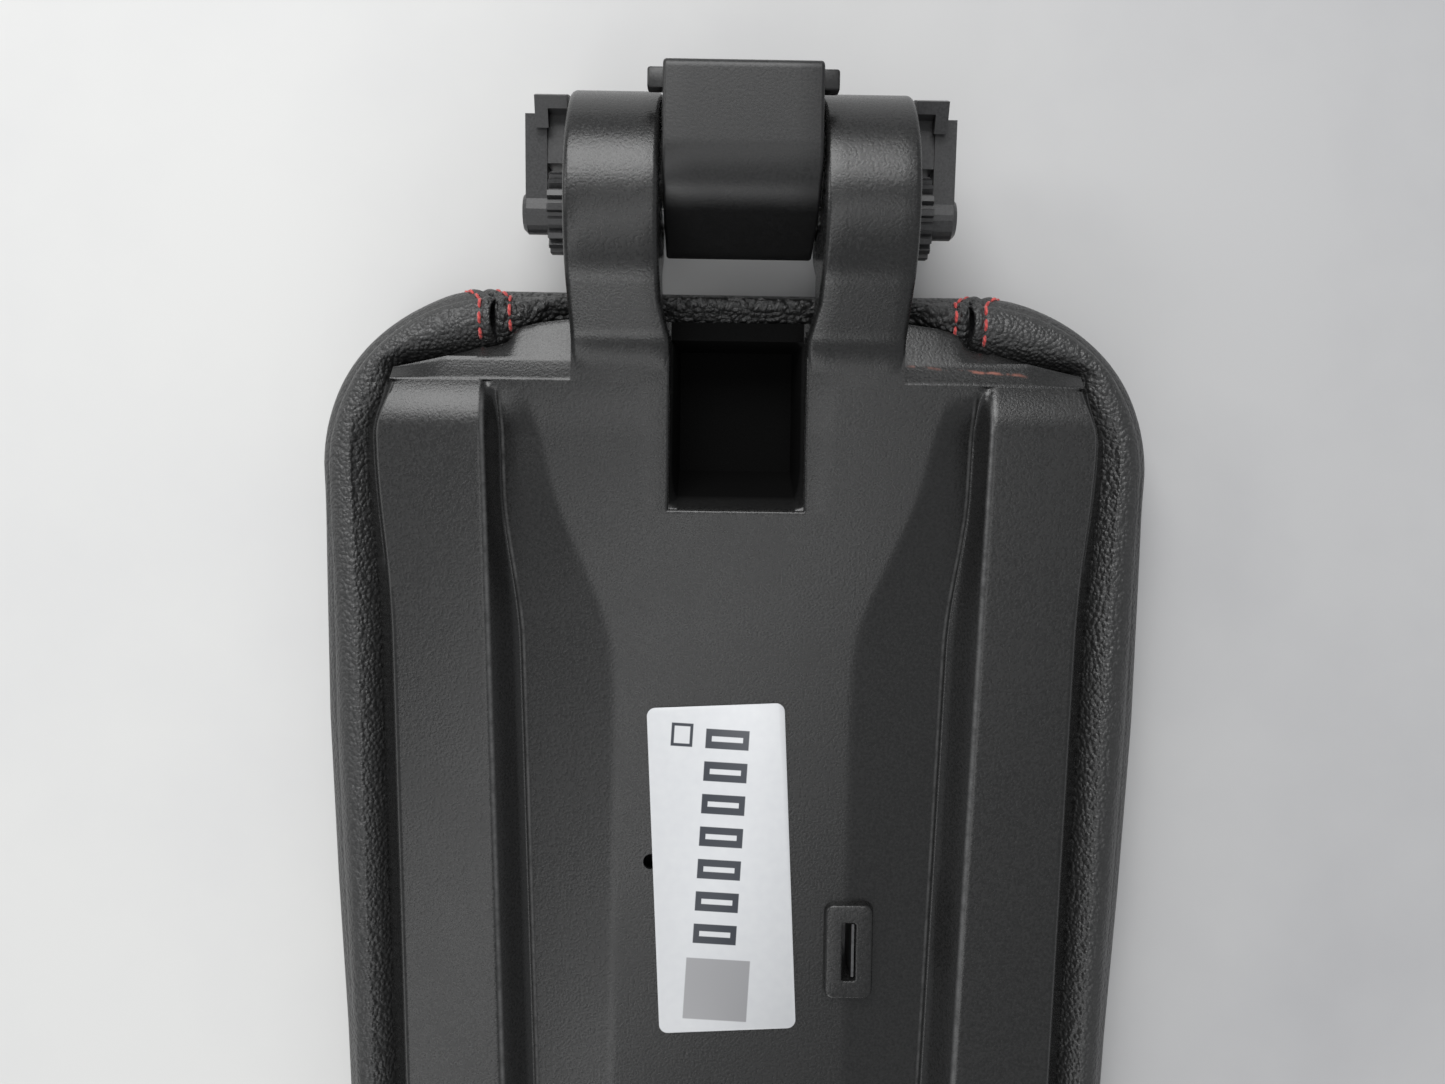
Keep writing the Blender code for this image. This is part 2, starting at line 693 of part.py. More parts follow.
def make_liner(finish):
    """The liner is one moulding: plate, well, both arms and the slotted boss."""
    liner = make_object("inner_panel", *make_shell(), finish)
    well_low = WELL_FLOOR_Z - WELL_WALL
    well = lofted(well_rings(WELL_WALL, well_low, STEP_Z - 1.0 * MM, WELL_BACK - 0.1 * MM))
    combine(liner, make_cutter("well_body", *well), "UNION")
    outline, start = arm_outline()
    for name, side in (("left", -1), ("right", 1)):
        ends = sorted((side * (WELL_HALF - 1.0 * MM), side * ARM_OUTER_X))
        arm = make_cutter("arm_" + name, *prism_x(outline, *ends))
        inside = sorted((side * (ARM_INNER_X + ARM_CHEEK), side * (ARM_OUTER_X - ARM_CHEEK)))
        hollow = make_cutter("arm_hollow_" + name, *prism_x(arm_cavity(start), *inside))
        combine(arm, hollow, "DIFFERENCE")
        combine(liner, arm, "UNION")
    boss_outline = rounded_rectangle(BOSS_CENTRE, BOSS_SIZE, BOSS_CORNER)
    boss_top = rounded_rectangle(BOSS_CENTRE, np.array(BOSS_SIZE) - 1.0 * MM, BOSS_CORNER - 0.5 * MM)
    boss_rings = []
    for flat, z in (
        (boss_outline, VALLEY_Z - 1.6 * MM),
        (boss_outline, BOSS_TOP_Z - 0.5 * MM),
        (boss_top, BOSS_TOP_Z),
    ):
        boss_rings.append(np.column_stack([flat, np.full(len(flat), z)]))
    combine(liner, make_cutter("slot_boss", *lofted(boss_rings)), "UNION")
    cavity = lofted(well_rings(0.0, WELL_FLOOR_Z, STEP_Z + 20 * MM))
    combine(liner, make_cutter("well_cavity", *cavity), "DIFFERENCE")
    between = [
        (WELL_HALF, WELL_REAR_Y - 0.4 * MM),
        (BLOCK_HALF + GAP, THROAT_WAIST_Y),
        (ARM_INNER_X, AXIS_Y - 12 * MM),
        (ARM_INNER_X, AXIS_Y + CUT_REACH),
    ]
    between = between + [(-x, y) for x, y in between[::-1]]
    throat = prism_z(between, WELL_SILL_Z, AXIS_Z + CUT_REACH)
    combine(liner, make_cutter("arm_throat", *throat), "DIFFERENCE")
    behind = [(x, max(y, AXIS_Y - 14 * MM)) for x, y in between]
    low_throat = prism_z(behind, AXIS_Z - CUT_REACH, WELL_SILL_Z + 1 * MM)
    combine(liner, make_cutter("arm_throat_low", *low_throat), "DIFFERENCE")
    slot_outline = rounded_rectangle(BOSS_CENTRE, SLOT_SIZE, 0.5 * MM, steps=1)
    slot = prism_z(slot_outline, SKIRT_Z - CUT_REACH, SKIRT_Z + CUT_REACH)
    combine(liner, make_cutter("slot_cut", *slot), "DIFFERENCE")
    hole_outline = arc(HOLE_CENTRE, HOLE_RADIUS, 0, 2 * np.pi, 12)[:-1]
    hole = prism_z(hole_outline, SKIRT_Z - CUT_REACH, SKIRT_Z + CUT_REACH)
    combine(liner, make_cutter("small_hole", *hole), "DIFFERENCE")
    bore_reach = ARM_OUTER_X + 2 * MM
    bore = turned_x([(-bore_reach, BUSH_RADIUS + GAP), (bore_reach, BUSH_RADIUS + GAP)])
    combine(liner, make_cutter("bush_bores", *bore), "DIFFERENCE")


def make_clip(finish):
    """A folded strip of spring steel that stands in the slot with its foot on the tray."""
    right = BOSS_CENTRE[0] + SLOT_SIZE[0] / 2 - GAP
    left = right - CLIP_STRIP
    foot = right - CLIP_FOOT
    low = TRAY_Z + TRAY_WALL + GAP
    top = BOSS_TOP_Z - 1.2 * MM
    fold = low + CLIP_STRIP
    outline = [(foot, low), (right, low), (right, top), (left, top), (left, fold), (foot, fold)]
    near = BOSS_CENTRE[1] - SLOT_SIZE[1] / 2 + 2 * GAP
    far = BOSS_CENTRE[1] + SLOT_SIZE[1] / 2 - 2 * GAP
    rings = []
    for y in (near, far):
        rings.append([(x, y, z) for x, z in outline])
    make_object("slot_clip", *lofted(rings), finish)


def make_label(finish):
    outline = rounded_rectangle(LABEL_CENTRE, LABEL_SIZE, LABEL_CORNER, LABEL_TURN)
    low = PLATFORM_Z + GAP
    make_object("label", *prism_z(outline, low, low + LABEL_THICK), finish)


# Hinge


def make_axle(finish):
    chamfer = 0.5 * MM
    profile = [
        (-AXLE_HALF, AXLE_RADIUS - chamfer),
        (-AXLE_HALF + chamfer, AXLE_RADIUS),
        (AXLE_HALF - chamfer, AXLE_RADIUS),
        (AXLE_HALF, AXLE_RADIUS - chamfer),
    ]
    return make_object("hinge_axle", *turned_x(profile), finish)


def make_bushes(finish):
    """Flanged bushes: each sleeve fills its cheek, and the flange lies on the outer side."""
    bore = AXLE_RADIUS + GAP
    for name, side in (("left", -1), ("right", 1)):
        for place, cheek in (("inner", ARM_INNER_X), ("outer", ARM_OUTER_X - ARM_CHEEK)):
            root = cheek + ARM_CHEEK + GAP
            face = root + BUSH_FLANGE
            profile = [
                (side * cheek, bore),
                (side * cheek, BUSH_RADIUS),
                (side * root, BUSH_RADIUS),
                (side * root, BUSH_FLANGE_RADIUS),
                (side * face, BUSH_FLANGE_RADIUS),
                (side * face, bore),
            ]
            bush = turned_x(profile, closed=True, steps=SMALL_ROUND)
            make_object(f"arm_bush_{name}_{place}", *bush, finish)


def make_washers(finish):
    bore = AXLE_RADIUS + GAP
    near = ARM_OUTER_X + GAP + BUSH_FLANGE + GAP
    far = near + WASHER_THICK
    for name, side in (("left", -1), ("right", 1)):
        profile = [
            (side * near, bore),
            (side * near, WASHER_RADIUS),
            (side * far, WASHER_RADIUS),
            (side * far, bore),
        ]
        washer = turned_x(profile, closed=True, steps=SMALL_ROUND)
        make_object("thrust_washer_" + name, *washer, finish)


def make_wheels(finish):
    """Toothed wheels: each tooth is a flank up, a flat tip, a flank down and a flat root."""
    pitch = 2 * np.pi / WHEEL_TEETH
    root = WHEEL_ROOT_RADIUS
    tip = WHEEL_TIP_RADIUS
    steps = [(0.00, root), (0.28, root), (0.44, tip), (0.84, tip)]
    turns = np.array([(tooth + share) * pitch for tooth in range(WHEEL_TEETH) for share, _ in steps])
    radii = np.array([radius for _ in range(WHEEL_TEETH) for _, radius in steps])
    bore = np.full(len(turns), AXLE_RADIUS + GAP)
    for name, side in (("left", -1), ("right", 1)):
        rings = []
        for x, spread in (
            (WHEEL_INNER_X, bore),
            (WHEEL_INNER_X, radii),
            (WHEEL_OUTER_X, radii),
            (WHEEL_OUTER_X, bore),
            (WHEEL_INNER_X, bore),
        ):
            ring = np.column_stack([
                np.full(len(turns), side * x),
                AXIS_Y + spread * np.cos(turns),
                AXIS_Z + spread * np.sin(turns),
            ])
            rings.append(ring)
        make_object("toothed_wheel_" + name, *lofted(rings, capped=False), finish)


def make_end_stops(finish):
    """A blind boss over the axle's end, a web to the rear, a rim that is an arc of a ring
    about the axis with a notch in its inner edge, and a rib from the rim to the wheel."""
    axis = (AXIS_Y, AXIS_Z)
    inner_radius = RIM_RADIUS - RIM_DEPTH
    for name, side in (("left", -1), ("right", 1)):
        inside = WHEEL_OUTER_X + GAP
        boss = [
            (side * inside, BOSS_RADIUS),
            (side * (BOSS_END_X - BOSS_CHAMFER), BOSS_RADIUS),
            (side * BOSS_END_X, BOSS_RADIUS - BOSS_CHAMFER),
        ]
        stop = make_object("end_stop_" + name, *turned_x(boss), finish)
        web = [
            (AXIS_Y + 2.5 * MM, AXIS_Z - 4.2 * MM),
            (AXIS_Y + inner_radius + 2 * MM, AXIS_Z - 6.0 * MM),
            (AXIS_Y + inner_radius + 2 * MM, AXIS_Z + 6.0 * MM),
            (AXIS_Y + 2.5 * MM, AXIS_Z + 4.2 * MM),
        ]
        low, high = sorted((side * (inside + 0.2 * MM), side * WEB_OUTER_X))
        combine(stop, make_cutter("stop_web_" + name, *prism_x(web, low, high)), "UNION")
        outer_arc = arc(axis, RIM_RADIUS, -RIM_HALF_ANGLE, RIM_HALF_ANGLE, 8)
        inner_arc = arc(axis, inner_radius, RIM_HALF_ANGLE, -RIM_HALF_ANGLE, 8)
        rim = np.concatenate([outer_arc, inner_arc])
        low, high = sorted((side * RIM_INNER_X, side * RIM_OUTER_X))
        combine(stop, make_cutter("stop_rim_" + name, *prism_x(rim, low, high)), "UNION")
        notch = np.array([
            (AXIS_Y + inner_radius - 3 * MM, AXIS_Z - 30 * MM),
            (AXIS_Y + inner_radius + RIM_NOTCH, AXIS_Z - 30 * MM),
            (AXIS_Y + inner_radius + RIM_NOTCH, AXIS_Z + 30 * MM),
            (AXIS_Y + inner_radius - 3 * MM, AXIS_Z + 30 * MM),
        ])
        low, high = sorted((side * (RIM_INNER_X - 1 * MM), side * (inside - 0.4 * MM)))
        combine(stop, make_cutter("stop_notch_" + name, *prism_x(notch, low, high)), "DIFFERENCE")
        rib_near = AXIS_Y + WHEEL_TIP_RADIUS + 3 * GAP
        rib_far = AXIS_Y + inner_radius + RIM_NOTCH + 1 * MM
        rib = [
            (rib_near, AXIS_Z - RIB_HALF_DEPTH),
            (rib_far, AXIS_Z - RIB_HALF_DEPTH),
            (rib_far, AXIS_Z + RIB_HALF_DEPTH),
            (rib_near, AXIS_Z + RIB_HALF_DEPTH),
        ]
        low, high = sorted((side * (RIM_INNER_X + GAP), side * (inside + 1 * MM)))
        combine(stop, make_cutter("stop_rib_" + name, *prism_x(rib, low, high)), "UNION")
        bore_radius = AXLE_RADIUS + GAP
        bore = [(side * (inside - 2 * MM), bore_radius), (side * (AXLE_HALF + GAP), bore_radius)]
        combine(stop, make_cutter("stop_bore_" + name, *turned_x(bore)), "DIFFERENCE")


def block_outline(inset):
    """The hinge block from the side, drawn in by inset: a flat top, a round nose, a sloping
    front and a foot. The inner outline runs on below the foot, so the shell opens there."""
    nose = (BLOCK_NOSE_Y, BLOCK_TOP_Z - BLOCK_NOSE_RADIUS)
    front = np.array(BLOCK_FRONT_LOW)
    away = np.array(nose) - front
    bearing = np.arctan2(-away[1], -away[0])
    lean = np.arccos(BLOCK_NOSE_RADIUS / np.hypot(*away))
    tangent = (bearing - lean) % (2 * np.pi)
    nose_arc = arc(nose, BLOCK_NOSE_RADIUS - inset, np.pi / 2, tangent, 8)
    across = np.array([np.cos(tangent), np.sin(tangent)])
    rear = BLOCK_REAR_Y - inset
    round_rear = 1.5 * MM
    corner = arc((rear - round_rear, BLOCK_TOP_Z - inset - round_rear), round_rear, 0, np.pi / 2, 3)
    drop = 12 * MM if inset else 0.0
    foot = np.array(BLOCK_FOOT) + np.array([inset * 1.02, -drop])
    rear_foot = np.array([rear, BLOCK_REAR_FOOT_Z - drop])
    return np.concatenate([corner, nose_arc, [front - across * inset, foot, rear_foot]])


def make_block(finish):
    """A moulded cover, open below, with a hole each side for the axle and two square lugs."""
    outer = block_outline(0.0)
    chamfer = 0.7 * MM
    middle = outer.mean(axis=0)
    shrink = middle + (outer - middle) * (1 - chamfer / (20 * MM))
    rings = []
    for x, outline in (
        (-BLOCK_HALF, shrink),
        (-BLOCK_HALF + chamfer, outer),
        (BLOCK_HALF - chamfer, outer),
        (BLOCK_HALF, shrink),
    ):
        rings.append(np.column_stack([np.full(len(outline), x), outline]))
    block = make_object("hinge_block", *lofted(rings), finish)
    hollow_half = BLOCK_HALF - BLOCK_WALL
    hollow = prism_x(block_outline(BLOCK_WALL), -hollow_half, hollow_half)
    combine(block, make_cutter("block_hollow", *hollow), "DIFFERENCE")
    hole = [(-BLOCK_HALF - 2 * MM, AXLE_RADIUS + GAP), (BLOCK_HALF + 2 * MM, AXLE_RADIUS + GAP)]
    combine(block, make_cutter("block_holes", *turned_x(hole)), "DIFFERENCE")
    half = LUG_SIZE / 2
    y, z = LUG_CENTRE
    lug = [(y - half, z - half), (y + half, z - half), (y + half, z + half), (y - half, z + half)]
    for name, side in (("left", -1), ("right", 1)):
        low, high = sorted((side * (BLOCK_HALF - 1 * MM), side * (BLOCK_HALF + LUG_REACH)))
        combine(block, make_cutter("block_lug_" + name, *prism_x(lug, low, high)), "UNION")


def make_bracket(finish):
    """A steel saddle: a base with two screw holes, and two cheeks with an eye for the axle."""
    base_top = BRACKET_BASE_Z + BRACKET_GAUGE
    start = 2 * np.pi - np.arcsin((AXIS_Z - BRACKET_BASE_Z) / BRACKET_EYE)
    eye = arc((AXIS_Y, AXIS_Z), BRACKET_EYE, start, np.radians(95), 10)
    cheek = np.concatenate([
        eye,
        [
            (BRACKET_REAR_Y - BRACKET_HEAD, BRACKET_TOP_Z),
            (BRACKET_REAR_Y, BRACKET_TOP_Z),
            (BRACKET_REAR_Y, BRACKET_BASE_Z),
        ],
    ])
    saddle = make_object("hinge_bracket", *prism_x(cheek, -BRACKET_HALF, BRACKET_HALF), finish)
    inside = BRACKET_HALF - BRACKET_GAUGE
    room = [
        (AXIS_Y - CUT_REACH, base_top),
        (BRACKET_REAR_Y + CUT_REACH, base_top),
        (BRACKET_REAR_Y + CUT_REACH, BRACKET_TOP_Z + CUT_REACH),
        (AXIS_Y - CUT_REACH, BRACKET_TOP_Z + CUT_REACH),
    ]
    combine(saddle, make_cutter("bracket_room", *prism_x(room, -inside, inside)), "DIFFERENCE")
    front_y = AXIS_Y - CUT_REACH
    rear_y = BRACKET_WINDOW_Y
    window = [(-inside, front_y), (inside, front_y), (inside, rear_y), (-inside, rear_y)]
    opening = prism_z(window, AXIS_Z - CUT_REACH, base_top + 1 * MM)
    combine(saddle, make_cutter("bracket_window", *opening), "DIFFERENCE")
    eye_hole = [(-BRACKET_HALF - 1 * MM, AXLE_RADIUS + GAP), (BRACKET_HALF + 1 * MM, AXLE_RADIUS + GAP)]
    combine(saddle, make_cutter("bracket_eyes", *turned_x(eye_hole)), "DIFFERENCE")
    for name, side in (("left", -1), ("right", 1)):
        ring = arc((side * 7.5 * MM, BRACKET_REAR_Y - 7 * MM), SCREW_HOLE, 0, 2 * np.pi, 12)[:-1]
        cut = make_cutter("bracket_screw_" + name, *prism_z(ring, AXIS_Z - 20 * MM, base_top + 1 * MM))
        combine(saddle, cut, "DIFFERENCE")


def make_springs(finish):
    """Torsion springs: a coil round the axle with a straight leg at each end."""
    radius = AXLE_RADIUS + GAP + SPRING_WIRE / 2
    steps = int(SPRING_TURNS * COIL_STEPS)
    turns = np.linspace(0, SPRING_TURNS * 2 * np.pi, steps + 1)
    for name, side in (("left", -1), ("right", 1)):
        start = 1.6 * MM
        x = side * (start + turns / (2 * np.pi) * SPRING_PITCH)
        coil = np.column_stack([x, AXIS_Y + radius * np.sin(turns), AXIS_Z - radius * np.cos(turns)])
        legs = coil[[0, -1]]
        legs[:, 1] = BRACKET_WINDOW_Y - GAP
        route = np.concatenate([legs[:1], coil, legs[1:]])
        curve = bpy.data.curves.new("torsion_spring_" + name, "CURVE")
        curve.dimensions = "3D"
        curve.bevel_depth = SPRING_WIRE / 2
        curve.bevel_resolution = 1
        curve.use_fill_caps = True
        line = curve.splines.new("POLY")
        line.points.add(len(route) - 1)
        line.points.foreach_set("co", np.column_stack([route, np.ones(len(route))]).ravel())
        curve.materials.append(finish)
        made = bpy.data.objects.new("torsion_spring_" + name, curve)
        bpy.context.scene.collection.objects.link(made)


HINGE_NODES = [
    "hinge_block",
    "hinge_bracket",
    "hinge_axle",
    "torsion_spring_left",
    "torsion_spring_right",
    "thrust_washer_left",
    "thrust_washer_right",
    "toothed_wheel_left",
    "toothed_wheel_right",
    "end_stop_left",
    "end_stop_right",
]


def hang_hinge():
    """The pieces that turn together, and their cutters, hang from an empty on the axis."""
    pivot = bpy.data.objects.new("hinge_pivot", None)
    pivot.location = (0, AXIS_Y, AXIS_Z)
    bpy.context.scene.collection.objects.link(pivot)
    bpy.context.view_layer.update()
    shift = Matrix.Translation(-Vector(pivot.location))
    for name in HINGE_NODES:
        piece = bpy.data.objects[name]
        guides = [step.object for step in piece.modifiers if step.type == "BOOLEAN"]
        for hung in [piece, *guides]:
            hung.data.transform(shift)
            hung.parent = pivot


def build():
    clear_scene()
    coarse_leather = material("coarse_leather", (0.022, 0.022, 0.023), 0.5)
    smooth_leather = material("smooth_leather", (0.026, 0.026, 0.027), 0.45)
    plastic = material("grained_plastic", (0.045, 0.046, 0.048), 0.55)
    block_plastic = material("block_plastic", (0.05, 0.05, 0.052), 0.5)
    gear_plastic = material("gear_plastic", (0.03, 0.03, 0.031), 0.4)
    tray_plastic = material("tray_plastic", (0.08, 0.08, 0.08), 0.6)
    foam = material("foam", (0.55, 0.5, 0.4), 0.9)
    steel = material("steel", (0.5, 0.5, 0.5), 0.3, 1.0)
    bush = material("bush_plastic", (0.5, 0.48, 0.42), 0.45)
    paper = material("paper", (0.85, 0.86, 0.87), 0.5)
    make_cover(coarse_leather, smooth_leather)
    make_foam(foam)
    make_tray(tray_plastic)
    make_liner(plastic)
    make_clip(steel)
    make_label(paper)
    make_axle(steel)
    make_bushes(bush)
    make_washers(bush)
    make_wheels(gear_plastic)
    make_end_stops(gear_plastic)
    make_block(block_plastic)
    make_bracket(steel)
    make_springs(steel)
    hang_hinge()


build()
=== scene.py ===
import bpy
import numpy as np
from mathutils import Matrix, Vector
from mathutils.bvhtree import BVHTree


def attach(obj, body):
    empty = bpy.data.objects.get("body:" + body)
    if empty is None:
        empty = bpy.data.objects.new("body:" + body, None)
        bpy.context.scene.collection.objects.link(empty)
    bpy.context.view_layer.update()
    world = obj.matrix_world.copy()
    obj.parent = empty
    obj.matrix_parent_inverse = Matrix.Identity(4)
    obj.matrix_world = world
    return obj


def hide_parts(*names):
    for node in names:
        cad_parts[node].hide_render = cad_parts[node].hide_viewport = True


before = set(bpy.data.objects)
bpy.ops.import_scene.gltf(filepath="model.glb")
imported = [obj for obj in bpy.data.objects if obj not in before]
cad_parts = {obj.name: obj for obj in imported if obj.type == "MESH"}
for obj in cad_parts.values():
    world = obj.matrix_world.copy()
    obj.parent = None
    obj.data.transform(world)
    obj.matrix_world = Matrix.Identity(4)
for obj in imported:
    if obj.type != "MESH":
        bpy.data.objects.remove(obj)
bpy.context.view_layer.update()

MM = 0.001
X, Y, Z = 0, 1, 2


# The viewpoint. A phone held flat above the table, about 0.3 m over the lid and a little
# behind its middle. Its plain lens sees the lid from the hinge to past the label.

camera_data = bpy.data.cameras.new("overhead_view")
camera_data.sensor_width = 36.0
camera_data.lens = 31.77
camera_data.clip_start = 0.01
camera = bpy.data.objects.new("overhead_view", camera_data)
camera_tilt = Matrix.Rotation(np.radians(-2.636), 4, "X")
camera_tilt = camera_tilt @ Matrix.Rotation(np.radians(-0.466), 4, "Y")
camera_tilt = camera_tilt @ Matrix.Rotation(np.radians(0.793), 4, "Z")
camera.matrix_world = Matrix.Translation((-0.00533, 0.10191, 0.32752)) @ camera_tilt
bpy.context.scene.collection.objects.link(camera)
bpy.context.scene.camera = camera


# The table and the light. A pale worn table top under soft daylight from the upper left. The
# right side of the table is painted a little darker in its colour, as painted shade where the daylight
# falls off.

scene = bpy.context.scene
scene.view_settings.view_transform = "Standard"


def grid_object(name, points, close_across=False, caps=()):
    """A mesh from a grid of points, rows by columns. A grid is closed across by joining its
    last column to its first. A cap fills the first or the last row."""
    rows, columns, _ = points.shape
    index = np.arange(rows * columns).reshape(rows, columns)
    if close_across:
        index = np.concatenate([index, index[:, :1]], axis=1)
    quads = np.stack([index[:-1, :-1], index[:-1, 1:], index[1:, 1:], index[1:, :-1]], axis=-1)
    faces = quads.reshape(-1, 4).tolist()
    for cap in caps:
        ring = index[0, :columns][::-1] if cap == "first" else index[-1, :columns]
        faces.append(ring.tolist())
    mesh = bpy.data.meshes.new(name)
    mesh.from_pydata(points.reshape(-1, 3).tolist(), [], faces)
    mesh.shade_smooth()
    made = bpy.data.objects.new(name, mesh)
    scene.collection.objects.link(made)
    return made


def put(tree, socket, value):
    """Links an input to a value that is a socket, or else sets it."""
    if isinstance(value, bpy.types.NodeSocket):
        tree.links.new(value, socket)
    else:
        socket.default_value = value


def coat(tree, shader, **inputs):
    """Sets or links inputs of the shader, each key naming one."""
    for key, value in inputs.items():
        put(tree, shader.inputs[key.replace("_", " ")], value)


def blank_material(name, colour, roughness, metallic=0.0):
    """A material whose shader has plain values, ready for its nodes."""
    made = bpy.data.materials.new(name)
    made.use_nodes = True
    made.diffuse_color = (*colour, 1.0)
    shader = made.node_tree.nodes["Principled BSDF"]
    coat(made.node_tree, shader, Base_Color=(*colour, 1.0), Roughness=roughness, Metallic=metallic)
    return made, made.node_tree, shader


def node(tree, kind, **settings):
    """One node. A key that isn't one of the node's own settings names one of its inputs."""
    made = tree.nodes.new(kind)
    for key, value in settings.items():
        if hasattr(made, key):
            setattr(made, key, value)
        else:
            put(tree, made.inputs[key.replace("_", " ")], value)
    return made


def sums(tree, operation, *values, kind="ShaderNodeMath", result=0):
    """The result of a Math node, or of a Vector Math node."""
    made = node(tree, kind, operation=operation)
    for socket, value in zip(made.inputs, values):
        put(tree, socket, value)
    return made.outputs[result]


def product(tree, first, *others):
    """All the values multiplied together."""
    for other in others:
        first = sums(tree, "MULTIPLY", first, other)
    return first


def mapped(tree, value, low, high, to_low=0.0, to_high=1.0, **settings):
    """A value that goes from to_low to to_high as another goes from low to high, and is held
    past them."""
    made = node(tree, "ShaderNodeMapRange", Value=value, From_Min=low, From_Max=high,
                To_Min=to_low, To_Max=to_high, **settings)
    return made.outputs[0]


def noise(tree, place, scale, detail, **settings):
    """Soft clouds between 0 and 1."""
    made = node(tree, "ShaderNodeTexNoise", Vector=place, Scale=scale, Detail=detail, **settings)
    return made.outputs["Fac"]


def bumped(tree, shader, height, depth, strength=1.0):
    """Gives the shader a relief of a depth."""
    bump = node(tree, "ShaderNodeBump", Height=height, Distance=depth, Strength=strength)
    coat(tree, shader, Normal=bump.outputs[0])


def band(tree, value, low, high, soft):
    """1 where value lies between low and high, falling to 0 over soft on each side."""
    rise = mapped(tree, value, low - soft, low + soft)
    return product(tree, rise, mapped(tree, value, high + soft, high - soft))


def place_of(tree):
    """Where a point is on the object, in metres, and its x, y and z."""
    place = node(tree, "ShaderNodeTexCoord").outputs["Object"]
    return place, node(tree, "ShaderNodeSeparateXYZ", Vector=place).outputs


def tinted(tree, share, low, high):
    """A colour between low and high."""
    mix = node(tree, "ShaderNodeMix", data_type="RGBA")
    tree.links.new(share, mix.inputs["Factor"])
    for socket, colour in ((mix.inputs["A"], low), (mix.inputs["B"], high)):
        put(tree, socket, colour if isinstance(colour, bpy.types.NodeSocket) else (*colour, 1.0))
    return mix.outputs["Result"]


TABLE_HALF = 3.0
TABLE_Z = -0.2 * MM
table = grid_object(
    "table_top",
    np.array([[(-TABLE_HALF, -TABLE_HALF, TABLE_Z), (TABLE_HALF, -TABLE_HALF, TABLE_Z)],
              [(-TABLE_HALF, TABLE_HALF, TABLE_Z), (TABLE_HALF, TABLE_HALF, TABLE_Z)]]),
)
table_finish, tree, shader = blank_material("worn_table_painted_shade", (0.62, 0.62, 0.62), 0.6)
place, parts = place_of(tree)
smudge = mapped(tree, noise(tree, place, 9.0, 6.0, Roughness=0.6), 0.42, 0.75)
pale = tinted(tree, smudge, (0.66, 0.66, 0.65), (0.62, 0.62, 0.62))
painted_shade_tone = tinted(tree, smudge, (0.46, 0.46, 0.465), (0.41, 0.41, 0.42))
# Painted shade: the table's colour goes from pale at the left to darker at the right, standing in for the
# daylight falling off across it.
wear_and_painted_shade = mapped(tree, parts["X"], -0.12, 0.16)
coat(tree, shader, Base_Color=tinted(tree, wear_and_painted_shade, pale, painted_shade_tone))
table.data.materials.append(table_finish)

world = bpy.data.worlds.new("soft_room")
world.use_nodes = True
sky = world.node_tree.nodes["Background"]
coat(world.node_tree, sky, Color=(0.96, 0.98, 1.0, 1.0), Strength=0.42)
scene.world = world

LAMP_TARGET = np.array((0.0, 0.0, 0.03))
for lamp_name, spot, wide, long, power in (
    ("window_light", (-0.22, 1.05, 1.05), 0.9, 0.9, 16.0),
    ("ceiling_strip", (-0.26, -0.42, 1.40), 0.30, 1.9, 4.9),
    ("side_window", (-1.35, 0.60, 0.85), 0.5, 0.6, 4.0),
    ("front_light", (-0.25, -1.15, 0.40), 0.7, 0.35, 3.0),
):
    lamp = bpy.data.lights.new(lamp_name, "AREA")
    lamp.shape = "RECTANGLE"
    lamp.size = wide
    lamp.size_y = long
    lamp.energy = power
    holder = bpy.data.objects.new(lamp_name, lamp)
    turn = Vector((spot - LAMP_TARGET).tolist()).to_track_quat("Z", "Y")
    holder.matrix_world = Matrix.Translation(spot) @ turn.to_matrix().to_4x4()
    scene.collection.objects.link(holder)


# The sewn cover. Three panels of black leather over the foam: a coarse grained middle and two
# finer sides, joined by two long seams with red thread on both sides, stretched round the
# edge in a roll and tucked in under the moulded liner.

PAD_REAR_Y = 149.3 * MM
PAD_FRONT_Y = -160.0 * MM
PAD_HALF_REAR = 99.8 * MM
PAD_HALF_FRONT = 89.4 * MM
PAD_CORNER_REAR = 44.0 * MM
PAD_CORNER_FRONT = 34.0 * MM
SEAM_HALF_REAR = 57.0 * MM
SEAM_HALF_FRONT = 50.0 * MM
ROLL_WIDTH = 16.6 * MM
LINER_FRONT_Y = PAD_FRONT_Y + ROLL_WIDTH
LINER_CORNER = 15.0 * MM
FLANGE_REAR_Y = 139.5 * MM
FLANGE_CORNER_Y = 127.7 * MM
FLANGE_FLAT_HALF = 44.0 * MM
STEP_Y = 124.6 * MM
PINCH_START_Y = STEP_Y - 13 * MM
PINCH = 3.6 * MM


def smooth_step(value, low, high):
    """0 below low, 1 above high, and an even S between them."""
    share = np.clip((np.asarray(value, float) - low) / (high - low), 0.0, 1.0)
    return share * share * (3 - 2 * share)


def along_pad(y):
    """0 at the pad's front edge and 1 at its rear."""
    return (y - PAD_FRONT_Y) / (PAD_REAR_Y - PAD_FRONT_Y)


def pad_half(y):
    """Half the pad's width at y, between its round corners."""
    return PAD_HALF_FRONT + (PAD_HALF_REAR - PAD_HALF_FRONT) * along_pad(y)


def seam_half(y):
    """How far each seam lies from the middle at y."""
    return SEAM_HALF_FRONT + (SEAM_HALF_REAR - SEAM_HALF_FRONT) * along_pad(y)


def liner_half(y):
    """Half the liner's width at y: it follows the pad and draws in at its rear corners."""
    pinch = PINCH * smooth_step(y, PINCH_START_Y, STEP_Y + 2 * MM)
    depth = np.clip(LINER_FRONT_Y + LINER_CORNER - y, 0, LINER_CORNER)
    corner = LINER_CORNER - np.sqrt(LINER_CORNER**2 - depth**2)
    return pad_half(y) - ROLL_WIDTH - pinch - corner


